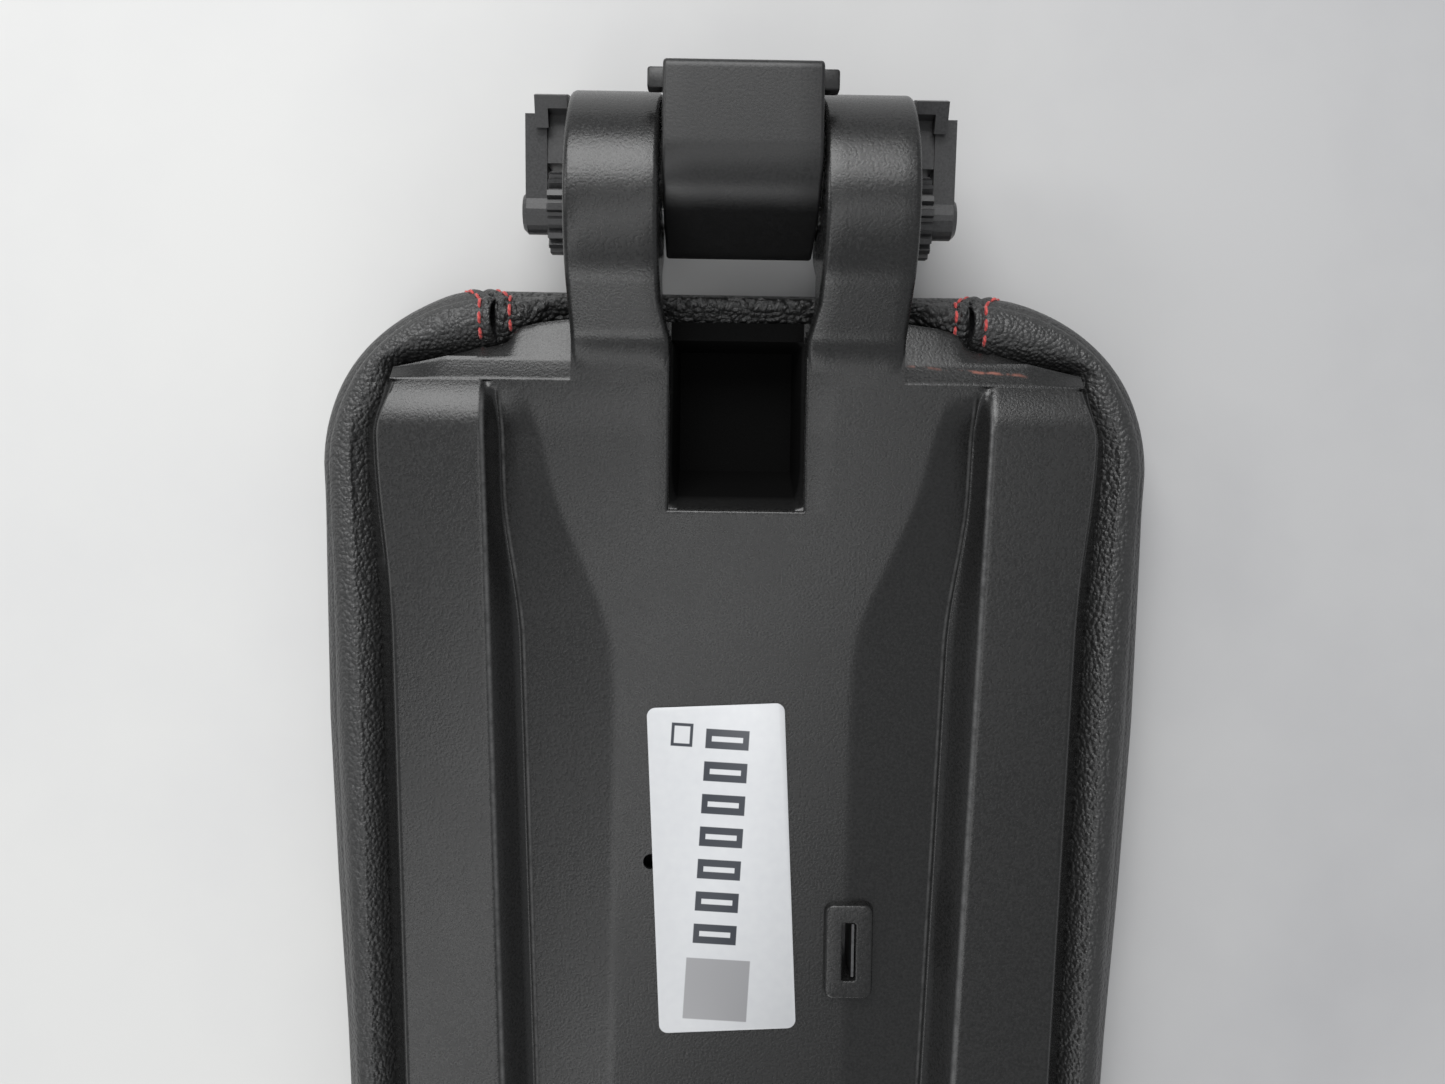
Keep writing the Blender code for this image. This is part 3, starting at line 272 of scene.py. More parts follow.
def tuck_rear(x):
    """Where the leather is tucked in at the rear: straight between the arms, and falling back
    to the corners."""
    span = liner_half(FLANGE_CORNER_Y) - FLANGE_FLAT_HALF
    share = np.clip((np.abs(x) - FLANGE_FLAT_HALF) / span, 0.0, 1.0)
    return FLANGE_REAR_Y - (FLANGE_REAR_Y - FLANGE_CORNER_Y) * share**0.62


def smooth_curve(knots, count):
    """A smooth curve through knots: each span is the cubic that leaves and arrives at the
    slope of its neighbours, walked at even steps of the knots' number."""
    knots = np.asarray(knots, float)
    ends = np.concatenate([2 * knots[:1] - knots[1:2], knots, 2 * knots[-1:] - knots[-2:-1]])
    walk = np.linspace(0, len(knots) - 1, count)
    span = np.minimum(walk.astype(int), len(knots) - 2)
    t = (walk - span)[:, None]
    a, b, c, d = (ends[span + k] for k in range(4))
    bend = (2 * a - 5 * b + 4 * c - d) * t**2 + (3 * b - a - 3 * c + d) * t**3
    return 0.5 * (2 * b + (c - a) * t + bend)


def eased(points):
    """Small departures of the real cover from the plain outline. Its sides bow in towards both
    ends, its rear edge is drawn in, its roll stands off the liner's sides, and both seams fan
    out a little as they go round the rear roll."""
    x, y, z = np.moveaxis(np.asarray(points, float), -1, 0)
    width = np.abs(x)
    skirt = 1 - smooth_step(z, 25.5 * MM, 29.5 * MM)
    bows = np.array([(-160, 1.2), (-30, 1.0), (5, 0.3), (45, 0.0), (98, 1.25), (149, 0.9)]) * MM
    bow = np.interp(y, bows[:, 0], bows[:, 1])
    near_side = smooth_step(width, pad_half(y) - 24 * MM, pad_half(y) - 2 * MM)
    drawn = 2.3 * MM * smooth_step(y, 122 * MM, 149 * MM) * skirt
    inner = smooth_step(-width, -(pad_half(y) - 8 * MM), -(pad_half(y) - 13 * MM))
    inner = inner * smooth_step(width, 70 * MM, 74 * MM) * smooth_step(z, 18 * MM, 24 * MM)
    stand = (1.5 + 1.1 * smooth_step(y, 66 * MM, 108 * MM)) * MM * inner
    stand = stand * smooth_step(-y, -124 * MM, -108 * MM)
    climb = smooth_step(z, 17 * MM, 28 * MM)
    fan = (4.0 - 5.9 * climb - 1.3 * np.sign(x)) * MM * smooth_step(z, 1 * MM, 12 * MM)
    near_seam = np.exp(-(((width - SEAM_HALF_REAR) / (13 * MM)) ** 2))
    fan = fan * smooth_step(y, 122 * MM, 136 * MM) * near_seam
    shift = stand + fan - bow * skirt * near_side
    return np.stack([x + np.sign(x) * shift, y - drawn, z], axis=-1)


# How far in from the pad's outline, how high, and how much of the liner's outline it follows.
SKIN_KNOTS = [
    (34.0, 0.05, 0.0), (24.0, 0.4, 0.0), (14.0, 2.0, 0.0), (6.5, 5.6, 0.0), (2.0, 11.0, 0.0),
    (0.0, 18.0, 0.0), (0.6, 22.4, 0.0), (2.4, 25.0, 0.0), (3.9, 25.9, 0.0), (4.6, 28.4, 0.0),
    (6.6, 30.7, 0.25), (9.6, 31.4, 0.55), (12.8, 30.4, 0.85), (15.2, 28.0, 1.0), (15.9, 26.0, 1.0),
]
skin_profile = smooth_curve(SKIN_KNOTS, 99)
skin_profile[:, :2] *= MM
skin_profile[:, 2] = np.clip(skin_profile[:, 2], 0, 1)


def pad_edge_y(x, inset, front):
    """Where the pad's outline, drawn in by inset, crosses x at the front or the rear: level
    between the corners, and on a quarter circle past them."""
    corner = PAD_CORNER_FRONT if front else PAD_CORNER_REAR
    edge = PAD_FRONT_Y if front else PAD_REAR_Y
    side = 1.0 if front else -1.0
    level = edge + side * inset
    radius = np.maximum(corner - inset, 2 * MM)
    middle = pad_half(edge) - inset - radius
    past = np.clip(np.abs(x) - middle, 0, radius * 0.98)
    return level + side * (radius - np.sqrt(radius**2 - past**2))


def liner_edge_y(x, front):
    """Where the liner's outline crosses x at the front or the rear."""
    if not front:
        return tuck_rear(x)
    middle = liner_half(LINER_FRONT_Y + LINER_CORNER) - LINER_CORNER
    past = np.clip(np.abs(x) - middle, 0, LINER_CORNER * 0.98)
    return LINER_FRONT_Y + LINER_CORNER - np.sqrt(LINER_CORNER**2 - past**2)


def skin_row(x, row, front):
    """A point of the skin over the front or rear edge, at x and one row of the profile."""
    inset, height, share = row
    side = 1.0 if front else -1.0
    pad_y = pad_edge_y(x, inset, front)
    liner_y = liner_edge_y(x, front) - side * (ROLL_WIDTH - inset)
    return (1 - share) * pad_y + share * liner_y, height


def seam_offsets(reach, count):
    """Steps away from a seam: close where the leather dives and where the thread runs, then
    opening out to reach."""
    near = np.array([0.0, 0.25, 0.5, 0.8, 1.15, 1.5, 1.9, 2.3, 2.7,
                     2.95, 3.15, 3.3, 3.45, 3.65, 3.9, 4.4, 5.2, 6.4]) * MM
    far = near[-1] + (reach - near[-1]) * np.linspace(0, 1, count + 1)[1:] ** 1.15
    return np.concatenate([near, far])


SEAM_DIVE = 0.6 * MM
SEAM_WIDTH = 0.5 * MM
THREAD_OFFSET = 3.5 * MM
THREAD_DIP = 0.22 * MM


def seam_dip(gap):
    """How deep the leather lies below its own surface: deep at the seam, a slight swell beside
    it over the turned allowance, and a fine channel under the thread."""
    dive = SEAM_DIVE * np.exp(-(gap / SEAM_WIDTH) ** 1.6)
    swell = -0.5 * MM * np.exp(-((gap - 1.8 * MM) / (0.9 * MM)) ** 2)
    thread = THREAD_DIP * np.exp(-((gap - THREAD_OFFSET) / (0.45 * MM)) ** 2)
    return dive + swell + thread


def grid_normals(points):
    """The unit normal at each point of a grid, from its steps along and across."""
    along = np.gradient(points, axis=0)
    across = np.gradient(points, axis=1)
    normal = np.cross(across, along)
    length = np.linalg.norm(normal, axis=-1, keepdims=True)
    return normal / np.maximum(length, 1e-12)


def resampled(line, places):
    """The points of a line at given shares of its length."""
    steps = np.linalg.norm(np.diff(line, axis=0), axis=1)
    length = np.concatenate([[0.0], np.cumsum(steps)])
    at = np.asarray(places) * length[-1]
    return np.column_stack([np.interp(at, length, line[:, k]) for k in range(line.shape[1])])


def centre_skin():
    """The middle panel: each row runs across from seam to seam, and the rows run from the tuck
    at the rear, round the roll, along the top and up to the tuck at the front."""
    half = seam_offsets(SEAM_HALF_REAR, 22)
    places = np.concatenate([-1 + half / SEAM_HALF_REAR, (1 - half / SEAM_HALF_REAR)[::-1][1:]])
    ends = []
    for front in (False, True):
        rows = []
        for row in skin_profile:
            y = np.full(len(places), PAD_FRONT_Y if front else PAD_REAR_Y)
            for _ in range(2):
                x = places * seam_half(y)
                y, z = skin_row(x, row, front)
            rows.append(np.column_stack([x, y, np.full(len(x), z)]))
        ends.append(np.array(rows))
    rear = ends[0][::-1]
    front = ends[1]
    share = np.linspace(0, 1, 62)[1:-1, None, None]
    top = (1 - share) * rear[-1] + share * front[0]
    top[..., X] = places * seam_half(top[..., Y])
    return np.concatenate([rear, top, front])


def corner_line(inset, front):
    """The pad's outline in plan from a seam to the far end of the next corner: level as far
    as the corner starts, then a quarter circle."""
    corner = PAD_CORNER_FRONT if front else PAD_CORNER_REAR
    edge = PAD_FRONT_Y if front else PAD_REAR_Y
    inward = 1.0 if front else -1.0
    radius = max(corner - inset, 2 * MM)
    middle = pad_half(edge) - inset - radius
    seam = seam_half(edge + inward * inset)
    start = np.arcsin(np.clip((seam - middle) / radius, 0, 1))
    turn = np.linspace(start, np.pi / 2, 40)
    bend = np.column_stack([
        middle + radius * np.sin(turn),
        edge + inward * (inset + radius * (1 - np.cos(turn))),
    ])
    if seam < middle:
        bend = np.concatenate([[(seam, edge + inward * inset)], bend])
    return bend


def liner_corner_line(front, outset):
    """The liner's outline in plan over the same stretch, moved outwards by outset."""
    if front:
        x = np.linspace(SEAM_HALF_FRONT, liner_half(LINER_FRONT_Y + LINER_CORNER) - 0.02 * MM, 60)
        line = np.column_stack([x, liner_edge_y(x, True)])
    else:
        x = np.linspace(SEAM_HALF_REAR - 0.5 * MM, liner_half(FLANGE_CORNER_Y), 40)
        y = np.linspace(FLANGE_CORNER_Y, PINCH_START_Y, 20)[1:]
        rear = np.column_stack([x, tuck_rear(x)])
        line = np.concatenate([rear, np.column_stack([liner_half(y), y])])
    step = np.gradient(line, axis=0)
    out = np.column_stack([step[:, Y], -step[:, X]]) * (1 if front else -1)
    out /= np.linalg.norm(out, axis=1)[:, None]
    return line + out * outset


CORNER_REACH = 40 * MM
SHORT_CORNER = 25 * MM


def side_skin(side):
    """A side panel: each row follows the pad's outline from the front seam, round both corners
    to the rear seam, and the rows run from the tuck, over the roll and the top, to the seam."""
    near = seam_offsets(CORNER_REACH, 30) / CORNER_REACH
    along = np.linspace(0, 1, 72)[1:-1, None]
    rows = []
    for inset, height, share in skin_profile[::-1]:
        ends = []
        for front in (True, False):
            line = corner_line(inset, front)
            length = np.linalg.norm(np.diff(line, axis=0), axis=1).sum()
            places = near ** (1.0 if length > SHORT_CORNER else 0.8)
            plan = resampled(line, places)
            if share > 0:
                liner = liner_corner_line(front, ROLL_WIDTH - inset)
                plan = (1 - share) * plan + share * resampled(liner, places)
            ends.append(plan)
        edge = (1 - along) * ends[0][-1] + along * ends[1][-1]
        plan = np.concatenate([ends[0], edge, ends[1][::-1]])
        rows.append(np.column_stack([plan, np.full(len(plan), height)]))
    last = rows[-1]
    reach = seam_offsets(last[:, X].max() - SEAM_HALF_FRONT, 10)
    target_y = np.linspace(last[0, Y], last[-1, Y], len(last))
    target = np.column_stack([seam_half(target_y), target_y, np.zeros(len(last))])
    for step in np.sort(1 - reach / reach[-1])[1:]:
        rows.append((1 - step) * last + step * target)
    skin = np.array(rows)
    skin[..., X] *= side
    return skin


SKIN_WALL = 1.1 * MM
SKIN_SWELL = 1.1 * MM
SKIN_LIFT = 0.05 * MM
HELD_ROWS = 4
CLOTH_FRAMES = 14
PAD_MIDDLE_Z = 16 * MM


def swollen(points, name):
    """The panel after a cloth simulation: its border is held where it is sewn and tucked, and
    the foam's pressure rounds the rest. No point moves further than the swell."""
    cloth = grid_object(name, points)
    held = cloth.vertex_groups.new(name="held")
    index = np.arange(points.shape[0] * points.shape[1]).reshape(points.shape[:2])
    inside = index[HELD_ROWS:-HELD_ROWS, HELD_ROWS:-HELD_ROWS]
    held.add(np.setdiff1d(index, inside).tolist(), 1.0, "REPLACE")
    step = cloth.modifiers.new("swell", "CLOTH")
    step.settings.quality = 4
    step.settings.mass = 0.3
    step.settings.tension_stiffness = 20
    step.settings.bending_stiffness = 0.6
    step.settings.use_pressure = True
    step.settings.uniform_pressure_force = 4
    step.settings.effector_weights.gravity = 0
    step.settings.vertex_group_mass = "held"
    step.collision_settings.use_collision = False
    for frame_number in range(CLOTH_FRAMES):
        scene.frame_set(frame_number + 1)
    result = cloth.evaluated_get(bpy.context.evaluated_depsgraph_get()).to_mesh()
    moved = np.empty(len(result.vertices) * 3, np.float32)
    result.vertices.foreach_get("co", moved)
    shift = moved.reshape(points.shape).astype(float) - points
    length = np.linalg.norm(shift, axis=-1, keepdims=True)
    shift *= SKIN_SWELL * np.tanh(length / SKIN_SWELL) / np.maximum(length, 1e-9)
    scene.frame_set(1)
    bpy.data.objects.remove(cloth, do_unlink=True)
    return points + shift


def sewn_panel(name, points):
    """The finished panel: swollen, dipped at its seams, and given the leather's thickness."""
    from_middle = points - np.array((0.0, 0.0, PAD_MIDDLE_Z))
    if np.sum(grid_normals(points) * from_middle) < 0:
        points = points[:, ::-1]
    points = swollen(points, name + "_cloth")
    gap = np.abs(np.abs(points[..., X]) - seam_half(points[..., Y]))
    points = eased(points)
    normal = grid_normals(points)
    row = np.arange(len(points))
    from_tuck = row if name != "cover_panel_centre" else np.minimum(row, row[::-1])
    shown = smooth_step(from_tuck, 3, 14)[:, None]
    points = points - normal * (seam_dip(gap) * shown)[..., None]
    points[..., Z] = np.maximum(points[..., Z], SKIN_LIFT)
    panel = grid_object(name, points)
    wall = panel.modifiers.new("leather_wall", "SOLIDIFY")
    wall.thickness = SKIN_WALL
    wall.offset = -1.0
    return panel


def leather(name, colour, cell, depth, crease):
    """Black leather: pebbles from a cell pattern with worn tops, split by finer creases."""
    made, tree, shader = blank_material(name, colour, 0.5)
    place, _ = place_of(tree)
    drift = node(tree, "ShaderNodeTexNoise", Vector=place, Scale=0.35 / cell, Detail=2.0)
    bent = sums(tree, "MULTIPLY_ADD", drift.outputs["Color"], (cell * crease,) * 3, place,
                kind="ShaderNodeVectorMath")
    pebble = node(tree, "ShaderNodeTexVoronoi", feature="SMOOTH_F1", Vector=bent, Scale=1 / cell)
    pebble.inputs["Smoothness"].default_value = 0.35
    pebble = pebble.outputs["Distance"]
    rise = sums(tree, "MULTIPLY_ADD", pebble, -1.0, 1.0)
    rise = sums(tree, "MULTIPLY_ADD", noise(tree, bent, 3.2 / cell, 3.0), 0.35, rise)
    bumped(tree, shader, rise, depth)
    wear_and_painted_shade = tuple(value * 1.5 for value in colour)
    coat(
        tree, shader,
        Base_Color=tinted(tree, mapped(tree, pebble, 0.1, 0.7), wear_and_painted_shade, colour),
        Roughness=mapped(tree, noise(tree, place, 28.0, 3.0), 0.0, 1.0, 0.32, 0.46),
        Specular_IOR_Level=0.75,
    )
    return made


coarse_leather = leather("coarse_leather", (0.012, 0.012, 0.012), 1.4 * MM, 1.1 * MM, 1.0)
fine_leather = leather("fine_leather", (0.014, 0.014, 0.014), 0.95 * MM, 0.38 * MM, 0.8)

panels = []
for piece_name, cad_name, points, finish, slot_name in (
    ("cover_panel_centre", "cover_centre", centre_skin(), coarse_leather, "coarse_leather"),
    ("cover_panel_left", "cover_left", side_skin(-1), fine_leather, "smooth_leather"),
    ("cover_panel_right", "cover_right", side_skin(1), fine_leather, "smooth_leather"),
):
    panel = sewn_panel(piece_name, points)
    panel.data.materials.append(finish)
    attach(panel, "lid")
    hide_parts(cad_name)
    panels.append(panel)


# The sewing. Thick red polyester thread in two rows beside each seam, lockstitched through
# the turned leather, with each stitch pulled in at both ends.

STITCH_LENGTH = 3.2 * MM
STITCH_PITCH = 3.95 * MM
THREAD_RADIUS = 0.42 * MM
THREAD_END = 4 * MM
THREAD_SHAPE = np.array([0.55, 0.95, 1.0, 1.0, 0.95, 0.55])


def long_line(side, offset, count=900):
    """A line over the whole cover beside a seam: up the rear roll, along the top and up the
    front roll, at a given distance from the seam on one side."""
    lines = []
    for front in (False, True):
        x = np.full(len(skin_profile), SEAM_HALF_FRONT if front else SEAM_HALF_REAR) + offset
        y = np.array([skin_row(across, row, front)[0] for across, row in zip(x, skin_profile)])
        x = seam_half(y) + offset
        lines.append(np.column_stack([x, y, skin_profile[:, 1]]))
    whole = eased(np.concatenate([lines[0][::-1], lines[1]]) * np.array([side, 1.0, 1.0]))
    return resampled(whole, np.linspace(0, 1, count))


def stitch_grid(line, skin):
    """One row of stitches: each is a thread whose middle stands proud of the leather and whose
    ends go in. Stations along, points round, and stitches, are worked out together."""
    length = np.linalg.norm(np.diff(line, axis=0), axis=1).sum()
    number = int((length - 2 * THREAD_END) / STITCH_PITCH)
    starts = (THREAD_END + np.arange(number) * STITCH_PITCH) / length
    stations = len(THREAD_SHAPE)
    along = np.linspace(0, 1, stations)
    places = (starts[:, None] + along * STITCH_LENGTH / length).ravel()
    core = resampled(line, places)
    found = [skin.find_nearest(Vector(point)) for point in core.tolist()]
    core, out = (
        np.array([tuple(hit[part]) for hit in found]).reshape(number, stations, 3)
        for part in (0, 1)
    )
    lift = THREAD_RADIUS * (1.5 * np.sin(np.pi * along) ** 0.6 - 0.7)
    core = core + out * lift[None, :, None]
    run = np.gradient(core, axis=1)
    run /= np.linalg.norm(run, axis=-1, keepdims=True)
    side = np.cross(run, out)
    side /= np.linalg.norm(side, axis=-1, keepdims=True)
    up = np.cross(side, run)
    turn = np.arange(6) * np.pi / 3
    thick = THREAD_RADIUS * THREAD_SHAPE
    ring = side[:, :, None] * np.cos(turn)[:, None] + up[:, :, None] * np.sin(turn)[:, None]
    return core[:, :, None] + ring * thick[None, :, None, None]


def closed_tubes(name, tubes):
    """Many short closed tubes as one mesh, from points by tube, station and turn."""
    number, stations, turns, _ = tubes.shape
    index = np.arange(number * stations * turns).reshape(number, stations, turns)
    ahead = np.roll(index, -1, axis=2)
    quads = np.stack([index[:, :-1], ahead[:, :-1], ahead[:, 1:], index[:, 1:]], axis=-1)
    ends = np.concatenate([index[:, 0, ::-1], index[:, -1]])
    mesh = bpy.data.meshes.new(name)
    faces = quads.reshape(-1, 4).tolist() + ends.tolist()
    mesh.from_pydata(tubes.reshape(-1, 3).tolist(), [], faces)
    mesh.shade_smooth()
    made = bpy.data.objects.new(name, mesh)
    scene.collection.objects.link(made)
    return made


thread_finish, tree, shader = blank_material("red_thread", (0.5, 0.045, 0.04), 0.62)
place, _ = place_of(tree)
ply = node(tree, "ShaderNodeTexWave", Vector=place, Scale=420.0, Distortion=2.0,
           bands_direction="DIAGONAL").outputs["Fac"]
bumped(tree, shader, ply, 0.1 * MM, 0.8)
tone = tinted(tree, ply, (0.36, 0.03, 0.03), (0.62, 0.07, 0.06))
coat(tree, shader, Base_Color=tone, Sheen_Weight=0.3)

graph = bpy.context.evaluated_depsgraph_get()
skins = [BVHTree.FromObject(panel, graph) for panel in panels]
for side, word in ((-1, "left"), (1, "right")):
    outer_skin = skins[1 if side < 0 else 2]
    for offset, place_word, skin in (
        (-THREAD_OFFSET, "inner", skins[0]),
        (THREAD_OFFSET, "outer", outer_skin),
    ):
        line = long_line(side, offset)
        row = closed_tubes(f"stitches_{word}_{place_word}", stitch_grid(line, skin))
        row.data.materials.append(thread_finish)
        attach(row, "lid")


# The foam. One moulded block of open cell foam between the cover and the tray, with a recess
# for the well; the cover hides it.

foam_finish, tree, shader = blank_material("open_cell_foam", (0.05, 0.05, 0.052), 0.95)
place, _ = place_of(tree)
cells = node(tree, "ShaderNodeTexVoronoi", Vector=place, Scale=900.0).outputs["Distance"]
bumped(tree, shader, cells, 0.4 * MM, 0.8)
coat(tree, shader, Base_Color=tinted(tree, cells, (0.03, 0.03, 0.032), (0.07, 0.07, 0.072)))


def settled(piece):
    """The piece with its modifiers made into its mesh."""
    graph = bpy.context.evaluated_depsgraph_get()
    mesh = bpy.data.meshes.new_from_object(piece.evaluated_get(graph))
    piece.modifiers.clear()
    piece.data = mesh
    return piece


def cut_through(piece, rings):
    """Cuts the solid over a stack of rings out of a piece."""
    cutter = grid_object("cutter", np.array(rings), close_across=True, caps=("first", "last"))
    step = piece.modifiers.new("cut", "BOOLEAN")
    step.operation = "DIFFERENCE"
    step.object = cutter
    settled(piece)
    bpy.data.objects.remove(cutter, do_unlink=True)


def box_ring(half, front, rear, height):
    """A level rectangle, even about the middle."""
    corners = ((half, front), (half, rear), (-half, rear), (-half, front))
    return np.array([(*corner, height) for corner in corners])


def foam_ring(inset, height, count=48):
    """The pad's outline drawn in by inset, all the way round at one height."""
    quarter = np.linspace(0, np.pi / 2, count // 4)
    bends = []
    for front in (True, False):
        corner = (PAD_CORNER_FRONT if front else PAD_CORNER_REAR) - inset
        edge = (PAD_FRONT_Y + inset) if front else (PAD_REAR_Y - inset)
        inward = 1.0 if front else -1.0
        middle = pad_half(edge) - inset - corner
        rise = inward * corner * (1 - np.cos(quarter))
        bend = np.column_stack([middle + corner * np.sin(quarter), edge + rise])
        bends.append(bend if front else bend[::-1])
    half = np.concatenate(bends)
    whole = np.concatenate([half, half[::-1] * np.array([-1.0, 1.0])])
    return np.column_stack([whole, np.full(len(whole), height)])


# How far in from the pad's outline, and how high.
foam_shape = [
    (30.0, 2.1), (20.0, 3.2), (12.0, 5.4), (7.8, 9.2), (5.0, 13.6),
    (4.2, 18.0), (4.8, 21.6), (7.0, 23.4), (19.0, 23.4), (19.0, 19.7),
]
foam_points = np.array([foam_ring(inset * MM, height * MM) for inset, height in foam_shape])
foam_core = grid_object("foam_core", foam_points, close_across=True, caps=("first", "last"))
cut_through(foam_core, [
    box_ring(15.9 * MM, 103.0 * MM, 137.2 * MM, 9.6 * MM),
    box_ring(17.2 * MM, 97.6 * MM, 138.4 * MM, 30.0 * MM),
])
foam_core.data.materials.append(foam_finish)
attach(foam_core, "lid")
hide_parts("foam_pad")


# The liner. One injection moulding of charcoal nylon with a fine spark-eroded grain: a plate
# with two raised plateaus, a groove beside each, the well, and the two goose-neck arms that
# carry the axle. It clips down over the tray and traps the leather's edge.

SKIRT_Z = 28.5 * MM
PLATFORM_Z = 36.0 * MM
PLATEAU_Z = 40.0 * MM
STEP_Z = 36.5 * MM
VALLEY_Z = 33.0 * MM
STEP_FOOT_Y = 130.2 * MM
FLANGE_Z = 33.5 * MM
FLANGE_END_Z = 30.7 * MM
PLATEAU_ROLL = 11.5 * MM
APRON = 3.0 * MM
WELL_HALF = 15.5 * MM
WELL_HALF_FLOOR = 13.6 * MM
WELL_FLOOR_Z = 12.0 * MM
WELL_FRONT_Y = 95.8 * MM
WELL_FLOOR_Y = 105.0 * MM
WELL_REAR_Y = 134.3 * MM
WELL_SILL_Z = 28.0 * MM
ARM_OUTER_X = 38.0 * MM
ARM_INNER_X = 17.7 * MM
THROAT_WAIST = (141.5 * MM, 17.3 * MM)
AXIS_Y = 163.6 * MM
AXIS_Z = 29.7 * MM
ROUNDING = 0.7 * MM
LINER_WALL = 1.4 * MM


PLATEAU_HALF = 53.3 * MM
PLATEAU_TAPER = 0.0379
LIP_NEAR = 3.6 * MM
LIP_SWING = 3.4 * MM
LIP_NEAR_Y = 101 * MM
LIP_AWAY_Y = 64 * MM
GROOVE_DEPTH = 0.9 * MM
SHOULDER_ROOM = 4.5 * MM
RISE_START_Y = 112 * MM
HEM_Z = 26.5 * MM
HAIR = 0.01 * MM


def plateau_half(y):
    """The plateau's inner edge: nearly straight, opening a little to the rear."""
    return PLATEAU_HALF + PLATEAU_TAPER * y


def plateau_outer(y):
    """The plateau's outer edge: it stands back from the liner's side, less so at the rear."""
    return liner_half(y) - (2.8 - 2.5 * smooth_step(y, 66 * MM, 110 * MM)) * MM


def lip_half(y):
    """The lip, where the groove's edge lies: close beside the plateau at the rear, then
    swinging away from it."""
    away = smooth_step(-y, -LIP_NEAR_Y, -LIP_AWAY_Y)
    return plateau_half(y) - (LIP_NEAR + LIP_SWING * away)


def shoulder_half(y):
    """The edge of the middle platform: wide at the arms, waisted in to a steady width."""
    places = np.array([50, 62, 71, 85, 100, 113, 124]) * MM
    halves = np.array([27.2, 27.6, 29.3, 36, 42.6, 45.6, 49.2]) * MM
    fine = np.linspace(30 * MM, 130 * MM, 201)
    padded = np.pad(np.interp(fine, places, halves), 12, "edge")
    smooth = np.convolve(padded, np.full(25, 0.04), "valid")
    return np.interp(y, fine, smooth)


def throat_half(y):
    """Half the gap between the arms: the well's width, opening out past it for the block."""
    places = [WELL_REAR_Y, THROAT_WAIST[0], AXIS_Y - 12 * MM]
    return np.interp(y, places, [WELL_HALF, THROAT_WAIST[1], ARM_INNER_X])


def flange_rear(x):
    """The liner's own rear edge: it stands out in a small lug beside each arm."""
    falls = np.array([(0, 0.2), (40, 0.3), (46, 1.1), (50, 2.2),
                      (51.6, 3.2), (52.7, 5.2), (54.3, 6.2), (58.6, 7.1)]) * MM
    lug = FLANGE_REAR_Y - np.interp(np.abs(x), falls[:, 0], falls[:, 1])
    return np.where(np.abs(x) < falls[-1, 0], lug, tuck_rear(x) + 0.15 * MM)


def plateau_top(y):
    """The plateau is level, and rolls down to the step at the rear and to the front edge."""
    back = np.clip((y - (STEP_Y - PLATEAU_ROLL)) / PLATEAU_ROLL, 0, 1) ** 2
    front = np.clip((LINER_FRONT_Y + 9 * MM - y) / (9 * MM), 0, 1) ** 2
    return PLATEAU_Z - (PLATEAU_Z - STEP_Z) * np.maximum(back, front)


def rounded_line(at, knots_x, knots_z, soft):
    """A line through knots with its corners rounded: the mean of nine lines shifted by up to
    soft to either side."""
    shifts = np.linspace(-soft, soft, 9)
    return np.mean([np.interp(at + shift, knots_x, knots_z) for shift in shifts], axis=0)


def section_height(x, y):
    """The liner's height across one section, from the middle out: the platform, the long fall
    to the lip, the groove past it, the steep side of the plateau, its top and its rounded edge."""
    platform = PLATFORM_Z + (STEP_Z - PLATFORM_Z) * smooth_step(y, RISE_START_Y, STEP_Y)
    valley = VALLEY_Z + (STEP_Z - VALLEY_Z) * smooth_step(y, RISE_START_Y, STEP_Y - 1 * MM)
    lip = lip_half(y)
    edge = plateau_half(y)
    top = plateau_top(y)
    shoulder = min(shoulder_half(y), lip - SHOULDER_ROOM)
    outer = plateau_outer(y)
    groove = valley - GROOVE_DEPTH * smooth_step(-y, -(STEP_Y - 1 * MM), -(STEP_Y - 4 * MM))
    foot = max(liner_half(y) - 0.6 * MM, outer + 1.3 * MM)
    knots_x = [0, shoulder, lip, lip + 1.0 * MM,
               edge - 0.8 * MM, edge + 0.25 * MM, outer + 0.1 * MM, foot]
    knots_z = [platform, platform, valley, groove, top - 0.75 * MM, top, top, FLANGE_END_Z]
    broad = rounded_line(x, knots_x, knots_z, 1.0 * MM)
    fine = rounded_line(x, knots_x, knots_z, 0.6 * MM)
    near_lip = smooth_step(x, lip - 4 * MM, lip - 2.5 * MM)
    near_lip = near_lip * smooth_step(-x, 6 * MM - outer, 8 * MM - outer)
    return broad * (1 - near_lip) + fine * near_lip


